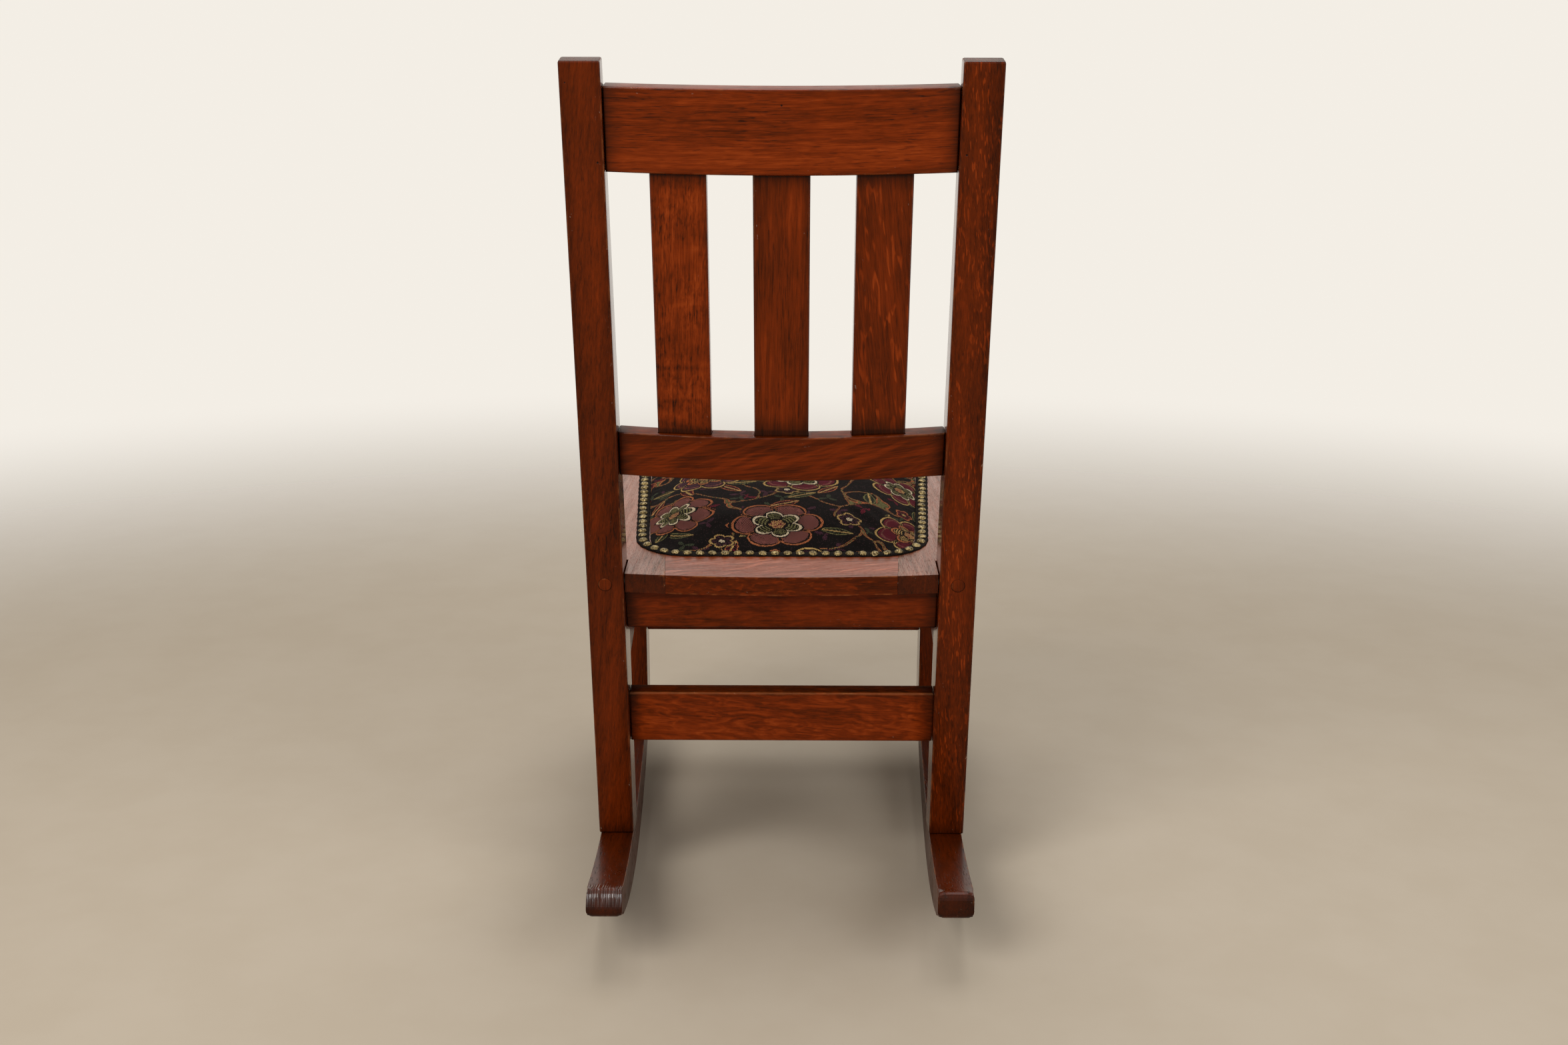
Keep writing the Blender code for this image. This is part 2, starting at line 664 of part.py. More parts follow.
def make_under_frame(posts, legs):
    points = post_points()
    foot, seat = points["rear_foot"], points["rear_seat"]
    distance = (STRETCHER_LEVEL - foot.y) * (seat - foot).length / (seat.y - foot.y)
    rear_frame = lean_frame(foot, seat, distance, REAR_STRETCHER_INSET + STRETCHER_THICKNESS / 2)
    leg_inner = FRONT_LEG_X - FRONT_LEG_SIZE / 2
    front_frame = Matrix.Translation((0, FRONT_LEG_Y, STRETCHER_LEVEL))
    for name, frame, inner, carriers in (
        ("rear_stretcher", rear_frame, POST_INNER, posts),
        ("front_stretcher", front_frame, leg_inner, legs),
    ):
        size = (2 * (inner - JOINT_GAP), STRETCHER_THICKNESS, STRETCHER_HEIGHT)
        stretcher = make_rail(name, frame, size)
        cross_tenons(stretcher, carriers, inner, STRETCHER_HEIGHT, frame)
    apron_rear = seat_under(post_front(SEAT_REAR_HEIGHT - SEAT_THICKNESS)) - JOINT_GAP
    apron_levels = (apron_rear, seat_under(LEG_REAR) - JOINT_GAP)
    stretcher_top = SIDE_STRETCHER_LEVEL + SIDE_STRETCHER_HEIGHT / 2
    stretcher_levels = (stretcher_top, stretcher_top)
    apron_section = (APRON_THICKNESS, APRON_HEIGHT)
    stretcher_section = (SIDE_STRETCHER_THICKNESS, SIDE_STRETCHER_HEIGHT)
    for side_name, side in SIDES.items():
        carriers = (posts[side_name], legs[side_name])
        make_side_rail(f"side_apron_{side_name}", side, apron_levels, apron_section, *carriers)
        name = f"side_stretcher_{side_name}"
        make_side_rail(name, side, stretcher_levels, stretcher_section, *carriers)


# Dowels stand half in the rockers and half in the posts and legs
def make_rocker_dowel(name, x, y, rocker, upright):
    matrix = Matrix.Translation((x, y, rocker_top(y)))
    cutter = add_dowel(name, ROCKER_DOWEL_RADIUS, ROCKER_DOWEL_LENGTH, matrix)
    combine(rocker, cutter)
    combine(upright, cutter)


# Seat frame, in the axes of the seat: X across, Y forward, Z up out of the boards

def seat_outline():
    rear_half = seat_half_width(0)
    steps = RAIL_SEGMENTS
    across = [rear_half * (2 * step / steps - 1) for step in range(steps + 1)]
    rear = [(x, SEAT_REAR_BOW * (x / POST_INNER) ** 2) for x in across]
    front_half = seat_half_width(SEAT_FRONT)
    front = [(side * front_half, SEAT_FRONT, SEAT_CORNER_ROUND) for side in (1, -1)]
    return rounded(rear + front)


def seat_region(name, corners):
    middle = Matrix.Translation((0, 0, -SEAT_THICKNESS / 2))
    return prism(name, corners, 2 * SEAT_THICKNESS, middle)


def side_board_region(name, side):
    start, end = -SEAT_SIDE_BOARD, SEAT_FRONT + SEAT_SIDE_BOARD
    far = seat_half_width(end) + SEAT_SIDE_BOARD
    low = seat_joint_x(start) + JOINT_GAP / 2
    high = seat_joint_x(end) + JOINT_GAP / 2
    corners = [(low, start), (far, start), (far, end), (high, end)]
    return seat_region(name, [(side * x, y) for x, y in corners][::side])


def cross_board_region(name, edge):
    start, end = edge - SEAT_CROSS_BOARD, edge + SEAT_CROSS_BOARD
    low = seat_joint_x(start) - JOINT_GAP / 2
    high = seat_joint_x(end) - JOINT_GAP / 2
    return seat_region(name, [(-low, start), (low, start), (high, end), (-high, end)])


def seat_opening(grow):
    rear = SEAT_CROSS_BOARD - grow
    front = SEAT_FRONT - SEAT_CROSS_BOARD + grow
    low, high = seat_joint_x(rear) + grow, seat_joint_x(front) + grow
    return [(-low, rear), (low, rear), (high, front), (-high, front)]


def make_seat_frame():
    middle = Matrix.Translation((0, 0, -SEAT_THICKNESS / 2))
    blank_mesh = prism("seat_blank", seat_outline(), SEAT_THICKNESS, middle)
    blank = add_cutter("seat_blank", blank_mesh, parent=seat_plane)
    ease(blank, SEAT_EDGE_ROUND, SEAT_EDGE_STEPS)
    regions = {
        "seat_side_board_left": side_board_region("seat_side_board_left", -1),
        "seat_side_board_right": side_board_region("seat_side_board_right", 1),
        "seat_rear_board": cross_board_region("seat_rear_board", 0),
        "seat_front_board": cross_board_region("seat_front_board", SEAT_FRONT),
    }
    depth = SEAT_BASE_THICKNESS + 2 * JOINT_GAP
    rebate_mesh = prism("seat_rebate", seat_opening(SEAT_BASE_BEARING), 2 * depth)
    rebate = add_cutter("seat_rebate", rebate_mesh, parent=seat_plane)
    boards = {}
    for name, region in regions.items():
        boards[name] = add_part(name, region, "stained oak", parent=seat_plane)
        combine(boards[name], blank, "INTERSECT")
        combine(boards[name], rebate)
    return boards


# The side boards are notched round the posts, along the slope of the posts' front faces
def notch_for_post(board, side_name, side):
    low = SEAT_REAR_HEIGHT - 2 * SEAT_THICKNESS
    high = SEAT_REAR_HEIGHT + SEAT_THICKNESS
    behind = SEAT_REAR_Y - SEAT_SIDE_BOARD
    corners = [
        (behind, low),
        (post_front(low) + JOINT_GAP, low),
        (post_front(high) + JOINT_GAP, high),
        (behind, high),
    ]
    inner = POST_INNER - NOTCH_GAP
    outer = seat_half_width(0) + SEAT_SIDE_BOARD
    name = f"post_notch_{side_name}"
    mesh = prism(name, corners, outer - inner, SIDE_VIEW)
    combine(board, add_cutter(name, mesh, Matrix.Translation((side * (inner + outer) / 2, 0, 0))))


def make_seat_dowels(boards):
    middles = {"rear": SEAT_CROSS_BOARD / 2, "front": SEAT_FRONT - SEAT_CROSS_BOARD / 2}
    for end, middle in middles.items():
        for side_name, side in SIDES.items():
            for order, way in (("1", -1), ("2", 1)):
                y = middle + way * SEAT_DOWEL_SPACING / 2
                name = f"seat_dowel_{end}_{side_name}_{order}"
                place = Matrix.Translation((side * seat_joint_x(y), y, -SEAT_THICKNESS / 2))
                matrix = place @ Matrix.Rotation(math.pi / 2, 4, "Y")
                cutter = add_dowel(name, SEAT_DOWEL_RADIUS, SEAT_DOWEL_LENGTH, matrix, seat_plane)
                combine(boards[f"seat_{end}_board"], cutter)
                combine(boards[f"seat_side_board_{side_name}"], cutter)


# A screw runs through each post into the edge of the seat, under a plug trimmed flush with the post
def make_seat_screw(side_name, side, post, board):
    level = seat_under(post_rear(SEAT_REAR_HEIGHT)) + SEAT_THICKNESS / 2
    place = Matrix.Translation((side * POST_X, post_rear(level), level))
    matrix = place @ Matrix.Rotation(math.pi / 2 + SEAT_PITCH, 4, "X")
    head = -PLUG_DEPTH - JOINT_GAP
    neck = head - SCREW_HEAD_DEPTH
    tip = head - SCREW_LENGTH
    shank = SCREW_SHANK_RADIUS
    profile = [(0, head), (SCREW_HEAD_RADIUS, head), (shank, neck), (shank, tip + SCREW_TIP), (0, tip)]
    name = f"seat_screw_{side_name}"
    add_part(name, turned(name, profile), "screw steel", matrix)
    wide, slim = PLUG_RADIUS + JOINT_GAP, shank + JOINT_GAP
    mouth, floor, bottom = PLUG_DEPTH, neck - JOINT_GAP, tip - JOINT_GAP
    bore_profile = [
        (0, mouth), (wide, mouth), (wide, floor),
        (slim, floor), (slim, bottom), (0, bottom),
    ]
    bore = add_cutter(name + "_bore", turned(name + "_bore", bore_profile), matrix)
    combine(post, bore)
    combine(board, bore)
    plug_name = f"post_plug_{side_name}"
    plug_mesh = rod(plug_name, PLUG_RADIUS, PLUG_DEPTH)
    inverse = matrix.inverted()
    for vertex in plug_mesh.vertices:
        vertex.co.z -= PLUG_DEPTH / 2
        if vertex.co.z > -PLUG_DEPTH / 2:
            vertex.co.z = flush_height(matrix @ vertex.co, inverse)
    add_part(plug_name, plug_mesh, "plug oak", matrix)


# Height, in a plug's own axes, of the post's rear face behind a point of the plug
def flush_height(point, inverse):
    axis = inverse.to_3x3().inverted() @ Vector((0, 0, 1))
    points = post_points()
    run = points["rear_seat"] - points["rear_foot"]
    offset = Vector((point.y, point.z)) - points["rear_foot"]
    normal = Vector((run.y, -run.x))
    travel = -offset.dot(normal) / Vector((axis.y, axis.z)).dot(normal)
    return (inverse @ (point + axis * travel)).z


# Glue blocks fill the angle between an apron and the underside of the seat

def rear_block_outline(apron_top, apron_bottom):
    start = apron_top + JOINT_GAP
    drop = seat_under(apron_top) - JOINT_GAP
    low = drop - GLUE_BLOCK_SIZE
    lean = (apron_bottom - apron_top) / APRON_HEIGHT * GLUE_BLOCK_SIZE
    end = start + GLUE_BLOCK_SIZE
    return [
        (start + lean, low),
        (end + lean - GLUE_BLOCK_CHAMFER, low),
        (end + lean, low + GLUE_BLOCK_CHAMFER),
        (end, seat_under(end) - JOINT_GAP),
        (start, drop),
    ]


def front_block_outline(apron):
    face = apron - JOINT_GAP
    rear = face - GLUE_BLOCK_SIZE
    low = seat_under(rear) - JOINT_GAP - GLUE_BLOCK_SIZE
    return [
        (rear, low + GLUE_BLOCK_CHAMFER),
        (rear + GLUE_BLOCK_CHAMFER, low),
        (face, low),
        (face, seat_under(face) - JOINT_GAP),
        (rear, seat_under(rear) - JOINT_GAP),
    ]


def side_block_outline():
    middle = (post_front(SEAT_REAR_HEIGHT) + LEG_REAR) / 2
    start = middle - GLUE_BLOCK_LENGTH / 2
    end = middle + GLUE_BLOCK_LENGTH / 2
    low = seat_under(start) - JOINT_GAP
    high = seat_under(end) - JOINT_GAP
    return [(start, low - GLUE_BLOCK_SIZE), (end, high - GLUE_BLOCK_SIZE), (end, high), (start, low)]


def make_glue_blocks(rear_face, front_face):
    outlines = {"rear": rear_block_outline(*rear_face), "front": front_block_outline(front_face)}
    inward = APRON_THICKNESS / 2 + JOINT_GAP + GLUE_BLOCK_SIZE / 2
    for side_name, side in SIDES.items():
        place = Matrix.Translation((side * GLUE_BLOCK_SPREAD / 2, 0, 0))
        for end, outline in outlines.items():
            name = f"glue_block_{end}_{side_name}"
            mesh = prism(name, outline, GLUE_BLOCK_LENGTH, SIDE_VIEW)
            add_part(name, mesh, "pale hardwood", place)
        name = f"glue_block_side_{side_name}"
        mesh = splay(prism(name, side_block_outline(), GLUE_BLOCK_SIZE, SIDE_VIEW), side)
        add_part(name, mesh, "pale hardwood", Matrix.Translation((-side * inward, 0, 0)))


# Padded panel and its trim, in the axes of the seat

def pad_outline(inset, height):
    rear = PAD_REAR_MARGIN + inset
    front = SEAT_FRONT - PAD_FRONT_MARGIN - inset
    low = seat_half_width(rear) - PAD_SIDE_MARGIN - inset
    high = seat_half_width(front) - PAD_SIDE_MARGIN - inset
    bend = PAD_CORNER_ROUND - inset
    corners = [(low, rear, bend), (high, front, bend), (-high, front, bend), (-low, rear, bend)]
    outline = rounded(corners, PAD_CORNER_STEPS)
    points = []
    for index, start in enumerate(outline):
        end = outline[(index + 1) % len(outline)]
        arc_ends = (index + 1) % (PAD_CORNER_STEPS + 1) == 0
        count = PAD_SIDE_STEPS if arc_ends else 1
        points += [start.lerp(end, step / count).to_3d() for step in range(count)]
    for point in points:
        point.z = height
    return points


# The rings of the stuffing turn from the outline at the edge into ovals near the middle
def pad_ring(edge, share):
    centre = sum(edge, Vector()) / len(edge)
    half_width = max(abs(point.x - centre.x) for point in edge)
    half_depth = max(abs(point.y - centre.y) for point in edge)
    rise = (1 - share ** PAD_FULLNESS) ** (1 / PAD_FULLNESS)
    ring = []
    for point in edge:
        spoke = point - centre
        turn = math.atan2(spoke.y / half_depth, spoke.x / half_width)
        oval = centre + Vector((half_width * math.cos(turn), half_depth * math.sin(turn), 0))
        place = centre.lerp(oval.lerp(point, share ** 2), share)
        place.z = PAD_EDGE_HEIGHT + (PAD_CROWN - PAD_EDGE_HEIGHT) * rise
        ring.append(place)
    return ring


def make_pad():
    base = prism("seat_base", seat_opening(SEAT_BASE_BEARING - JOINT_GAP), SEAT_BASE_THICKNESS)
    drop = -JOINT_GAP - SEAT_BASE_THICKNESS / 2
    add_part("seat_base", base, "pale hardwood", Matrix.Translation((0, 0, drop)), seat_plane)
    inset = GIMP_WIDTH + JOINT_GAP
    edge = pad_outline(inset, PAD_EDGE_HEIGHT)
    rings = [pad_outline(inset, JOINT_GAP)]
    for ring in range(PAD_RINGS):
        share = math.cos(math.pi / 2 * ring / PAD_RINGS)
        rings.append(pad_ring(edge, share))
    add_part("seat_pad", loft("seat_pad", rings), "floral cloth", parent=seat_plane)
    shoulder = GIMP_WIDTH / 4
    section = [
        (0, JOINT_GAP), (0, GIMP_EDGE_HEIGHT), (shoulder, GIMP_HEIGHT),
        (GIMP_WIDTH - shoulder, GIMP_HEIGHT), (GIMP_WIDTH, GIMP_EDGE_HEIGHT), (GIMP_WIDTH, JOINT_GAP),
    ]
    band = loft("gimp_band", [pad_outline(inset, height) for inset, height in section], hoop=True)
    add_part("gimp_band", band, "dark gimp", parent=seat_plane)


def build_chair():
    posts = {}
    legs = {}
    boards = make_seat_frame()
    for side_name, side in SIDES.items():
        post = make_rear_post(side_name, side)
        leg = make_front_leg(side_name, side)
        rocker = make_rocker(side_name, side)
        board = boards[f"seat_side_board_{side_name}"]
        notch_for_post(board, side_name, side)
        make_seat_screw(side_name, side, post, board)
        rear_dowel = f"rocker_dowel_rear_{side_name}"
        make_rocker_dowel(rear_dowel, side * POST_X, POST_FOOT_MIDDLE, rocker, post)
        front_dowel = f"rocker_dowel_front_{side_name}"
        make_rocker_dowel(front_dowel, side * FRONT_LEG_X, FRONT_LEG_Y, rocker, leg)
        posts[side_name] = post
        legs[side_name] = leg
    make_back(posts)
    rear_face = make_rear_apron(posts)
    front_face = make_front_apron(legs)
    make_under_frame(posts, legs)
    make_seat_dowels(boards)
    make_glue_blocks(rear_face, front_face)
    make_pad()


clear_scene()
parts = new_collection("sewing_rocker")
cutters = new_collection("sewing_rocker_cutters")
chair = new_empty("chair")
seat_plane = new_empty("seat_plane", chair)
seat_plane.location = (0, SEAT_REAR_Y, SEAT_REAR_HEIGHT)
seat_plane.rotation_euler = (SEAT_PITCH, 0, 0)
build_chair()
bpy.context.view_layer.update()
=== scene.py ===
# Looks of a sewing rocker: stained oak, a padded floral panel, black gimp and brass trim nails.
# Metres, +Z up, +Y the way the sitter faces. The camera stands behind the chair.

import math
from functools import partial
from types import SimpleNamespace

import bpy
import numpy as np
from mathutils import Matrix, Vector


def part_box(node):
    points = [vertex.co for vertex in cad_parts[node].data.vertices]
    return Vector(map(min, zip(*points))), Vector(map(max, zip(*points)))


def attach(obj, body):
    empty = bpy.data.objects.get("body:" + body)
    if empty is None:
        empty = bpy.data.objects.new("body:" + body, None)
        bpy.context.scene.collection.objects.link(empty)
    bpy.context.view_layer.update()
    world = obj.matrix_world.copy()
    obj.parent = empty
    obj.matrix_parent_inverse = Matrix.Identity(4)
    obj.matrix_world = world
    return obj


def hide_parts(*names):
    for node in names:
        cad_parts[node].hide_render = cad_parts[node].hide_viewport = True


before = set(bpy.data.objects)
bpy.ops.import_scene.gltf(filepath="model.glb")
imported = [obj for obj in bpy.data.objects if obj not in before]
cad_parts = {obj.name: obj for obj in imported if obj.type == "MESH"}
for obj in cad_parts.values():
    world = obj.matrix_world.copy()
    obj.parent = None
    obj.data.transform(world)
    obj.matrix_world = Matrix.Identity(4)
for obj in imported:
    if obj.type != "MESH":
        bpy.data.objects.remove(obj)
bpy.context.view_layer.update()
print("frame loaded:", len(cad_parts), "nodes")

scene = bpy.context.scene
scene.view_settings.view_transform = "Standard"
xAxis, yAxis, zAxis = (1, 0, 0), (0, 1, 0), (0, 0, 1)

# Lines of the chair that several pieces follow
chair = dict(
    seatRear=(-0.180, 0.340), seatPitch=3.2, seatFront=0.43368,  # seat plane: rear edge (y, z), degrees
    halfAtPost=0.1875, postLine=0.048275, halfSlope=0.072183,  # half width of the seat along its depth
    rearLine=[(-0.1335, 0.053), (-0.1768, 0.340), (-0.262, 0.810)],  # rear faces of the posts (y, z)
    frontLine=[(-0.0975, 0.053), (-0.1318, 0.340), (-0.1652, 0.4666), (-0.2423, 0.8136)],
    postX=0.1675, sideSlope=0.039454, sideStart=-0.1155,  # spread of legs and rockers
    rockerLow=-0.0175, underRadius=0.785, overRadius=1.19018, rockerDepth=0.047,
    railHalf=0.1497, crestBow=0.0125, lowerBow=0.0135, seatBow=0.009,
)
seatPlane = (Matrix.Translation((0, *chair["seatRear"]))
             @ Matrix.Rotation(math.radians(chair["seatPitch"]), 4, "X"))


def seatHalf(y):
    return chair["halfAtPost"] + chair["halfSlope"] * (y - chair["postLine"])


def sideX(y):
    return chair["postX"] + chair["sideSlope"] * (y - chair["sideStart"])


def smoothRise(low, high, value):
    share = np.clip((value - low) / (high - low), 0, 1)
    return share * share * (3 - 2 * share)


# Handling of objects

def takeUp(piece):
    bpy.ops.object.select_all(action="DESELECT")
    piece.select_set(True)
    bpy.context.view_layer.objects.active = piece


def editMesh(select=None):
    bpy.ops.object.mode_set(mode="EDIT")
    if select:
        bpy.ops.mesh.select_all(action=select)


def leaveMesh():
    bpy.ops.object.mode_set(mode="OBJECT")


def sliceWhole(place, normal, **more):
    bpy.ops.mesh.select_all(action="SELECT")
    bpy.ops.mesh.bisect(plane_co=place, plane_no=normal, **more)


def copyNode(node, name):
    piece = bpy.data.objects.new(name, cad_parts[node].data.copy())
    piece.data.name = name
    scene.collection.objects.link(piece)
    takeUp(piece)
    bpy.ops.mesh.customdata_custom_splitnormals_clear()
    editMesh("SELECT")
    bpy.ops.mesh.remove_doubles(threshold=1e-5)
    bpy.ops.mesh.dissolve_limited(angle_limit=math.radians(0.3))
    leaveMesh()
    return piece


def softNormals(piece, angle):
    takeUp(piece)
    bpy.ops.object.shade_smooth_by_angle(angle=math.radians(angle))
    weighted = piece.modifiers.new("weighted", "WEIGHTED_NORMAL")
    weighted.keep_sharp = True
    bpy.ops.object.modifier_apply(modifier=weighted.name)


def readVectors(items, key):
    values = np.zeros(len(items) * 3)
    items.foreach_get(key, values)
    return values.reshape(-1, 3)


def meshPoints(piece):
    return readVectors(piece.data.vertices, "co")


def setPoints(piece, points):
    piece.data.vertices.foreach_set("co", np.asarray(points, np.float32).ravel())
    piece.data.update()


def give(piece, name, values, domain="POINT"):      # an attribute of vectors or of single values
    values = np.asarray(values, np.float32)
    kind, key = ("FLOAT_VECTOR", "vector") if values.ndim == 2 else ("FLOAT", "value")
    layer = piece.data.attributes.new(name, kind, domain)
    layer.data.foreach_set(key, values.ravel())


def dress(piece, material, stands=None):
    piece.data.materials.clear()
    piece.data.materials.append(material)
    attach(piece, "root")
    if stands:
        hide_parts(stands)


# Shader expressions: a wire is a socket of a node tree, and maths on wires adds Math nodes

class Wire:
    def __init__(self, tree, socket=None):
        self.tree = tree
        self.socket = socket

    def node(self, kind, settings=None, inputs=None, out=0):
        made = self.tree.nodes.new(kind)
        for key, value in (settings or {}).items():
            if key == "stops":
                self.fillRamp(made.color_ramp, value)
            else:
                setattr(made, key, value)
        for key, value in (inputs or {}).items():
            self.feed(made.inputs[key], value)
        return Wire(self.tree, made.outputs[out])

    def feed(self, socket, value):
        if isinstance(value, Wire):
            self.tree.links.new(value.socket, socket)
        elif hasattr(value, "__len__") and socket.type == "RGBA":
            socket.default_value = (*value[:3], 1.0)
        else:
            socket.default_value = value

    def fillRamp(self, ramp, stops):
        while len(ramp.elements) < len(stops):
            ramp.elements.new(1.0)
        for element, (place, colour) in zip(ramp.elements, stops):
            element.position = place
            element.color = (*colour, 1.0)

    def beside(self, name):             # another output of the same node
        return Wire(self.tree, self.socket.node.outputs[name])

    def math(self, operation, *others):
        return self.node("ShaderNodeMath", {"operation": operation}, dict(enumerate((self, *others))))

    def vector(self, operation, *others, out=0):
        return self.node("ShaderNodeVectorMath", {"operation": operation}, dict(enumerate((self, *others))), out)

    def mix(self, first, second):       # colours, this wire as the factor
        return self.node("ShaderNodeMix", {"data_type": "RGBA"}, {0: self, 6: first, 7: second}, 2)

    def noise(self, stretch, detail=2.0, roughness=0.5, distortion=0.0):
        values = {"Vector": self.vector("MULTIPLY", stretch), "Scale": 1.0, "Detail": detail}
        return self.node("ShaderNodeTexNoise", {}, {**values, "Roughness": roughness, "Distortion": distortion})

    def rise(self, low, high):          # smooth step from 0 to 1
        return self.node("ShaderNodeMapRange", {"interpolation_type": "SMOOTHSTEP"},
                         {0: self, 1: low, 2: high, 3: 0.0, 4: 1.0})

    def part(self, axis):
        return self.node("ShaderNodeSeparateXYZ", {}, {0: self}, axis)

    def between(self, low, high):
        return (self > low) * (self < high)

    def __add__(self, other): return self.math("ADD", other)
    def __sub__(self, other): return self.math("SUBTRACT", other)
    def __rsub__(self, other): return self.node("ShaderNodeMath", {"operation": "SUBTRACT"}, {0: other, 1: self})
    def __mul__(self, other): return self.math("MULTIPLY", other)
    def __truediv__(self, other): return self.math("DIVIDE", other)
    def __gt__(self, other): return self.math("GREATER_THAN", other)
    def __lt__(self, other): return self.math("LESS_THAN", other)

    __radd__ = __add__
    __rmul__ = __mul__


def newMaterial(name):
    material = bpy.data.materials.new(name)
    material.use_nodes = True
    return Wire(material.node_tree), material


def attribute(wire, name, out=1):       # out 1 is the vector, 2 the single value
    return wire.node("ShaderNodeAttribute", {"attribute_name": name}, {}, out)


def objectPlace(wire):
    return wire.node("ShaderNodeTexCoord", out=3)


def finishMaterial(wire, material, inputs, height=None, bump=()):       # bump is distance and strength
    sockets = material.node_tree.nodes["Principled BSDF"].inputs
    for name, value in inputs.items():
        wire.feed(sockets[name], value)
    if bump:
        values = {"Height": height, "Distance": bump[0], "Strength": bump[1]}
        wire.feed(sockets["Normal"], wire.node("ShaderNodeBump", {}, values))
    return material


# Stained oak

oak = dict(
    # the stain from open grain to pale fleck, in steps of its red share
    stain=[(0.012, 0.0024, 0.0004), (0.05, 0.0072, 0.0004), (0.10, 0.0132, 0.0006), (0.15, 0.0188, 0.0010),
           (0.21, 0.0290, 0.0024), (0.30, 0.0500, 0.0070), (0.46, 0.1300, 0.0400)],
    # the pale film on the seat tops: bleached finish and painted sheen
    bleachSheenColour=(0.43, 0.265, 0.135), bleachSheenGrey=(0.46, 0.32, 0.16),
    worn=(0.42, 0.14, 0.040), dust=(0.40, 0.31, 0.24), dirt=(0.010, 0.0040, 0.0022),
    roughness=0.31, specular=0.085, bump=(0.00035, 0.55), sideReach=0.012, sideStainAndShade=0.30,
    tackHoles=[(-0.1797, -0.2595, 0.7925), (0.0, -0.264, 0.7745), (-0.1555, -0.247, 0.727), (0.156, -0.248, 0.734)],
    holeRadius=0.0011, fineSlope=0.1,
)


def grainFields(wire, grain, slope):
    # figure runs at the whole slope across the board, and the fine grain at a small one at most
    def leaning(share):
        across = grain.part(1) - grain.part(0) * share
        return wire.node("ShaderNodeCombineXYZ", {}, {0: grain.part(0), 1: across, 2: grain.part(2)})

    lean = leaning(slope)
    fine = leaning(slope.math("MAXIMUM", -oak["fineSlope"]).math("MINIMUM", oak["fineSlope"]))
    dashField = grain.noise((15, 62, 50), 1.0).rise(0.34, 0.58)
    fleckField = grain.noise((9, 30, 30), 1.0).rise(0.36, 0.58)
    rippleField = grain.noise((22, 30, 30), 1.0).rise(0.22, 0.52)
    return SimpleNamespace(
        broad=fine.noise((3.2, 21, 16), 2.0),
        streak=fine.noise((15, 330, 170), 3.0, 0.6),
        fibre=fine.noise((58, 1150, 820), 2.0, 0.6),
        dashes=fine.noise((78, 640, 430), 1.0, 0.35, 0.1).rise(0.575, 0.70) * dashField,
        flecks=fine.noise((82, 560, 350), 1.0, 0.45).rise(0.57, 0.68) * fleckField,
        flame=lean.noise((15, 130, 170), 2.0, 0.5, 0.35).rise(0.42, 0.74),
        curl=lean.noise((32, 100, 150), 2.0, 0.5, 1.7).rise(0.38, 0.74),
        rays=lean.noise((36, 230, 320), 1.0, 0.4, 0.85).rise(0.56, 0.70),
        bands=grain.noise((40, 14, 20), 2.0, 0.5, 1.2),
        ripple=fine.noise((185, 430, 300), 1.0, 0.3, 0.4).rise(0.48, 0.62) * rippleField,
        scratch=fine.noise((30, 900, 500), 2.0, 0.6).rise(0.56, 0.70),
        pores=fine.noise((230, 1350, 900), 1.0, 0.4).rise(0.54, 0.66),
        rub=grain.noise((45, 60, 60), 3.0, 0.65),
        chips=grain.noise((260, 420, 420), 2.0, 0.6),
        smudge=grain.noise((19, 28, 28), 3.0, 0.6),
        comb=grain.noise((12, 560, 45), 2.0, 0.55),
    )


def edgeGaps(place, half):      # distances to the three pairs of faces, and to the nearest arris
    gaps = half.vector("SUBTRACT", place.vector("ABSOLUTE"))
    gap = [gaps.part(axis) for axis in range(3)]
    low, high = gap[0].math("MINIMUM", gap[1]), gap[0].math("MAXIMUM", gap[1])
    return gap, low.math("MAXIMUM", high.math("MINIMUM", gap[2]))


def tackHoles(wire):
    where = objectPlace(wire)
    holes = None
    for hole in oak["tackHoles"]:
        spot = 1 - where.vector("DISTANCE", hole, out=1).rise(oak["holeRadius"] * 0.6, oak["holeRadius"])
        holes = spot if holes is None else holes.math("MAXIMUM", spot)
    return holes


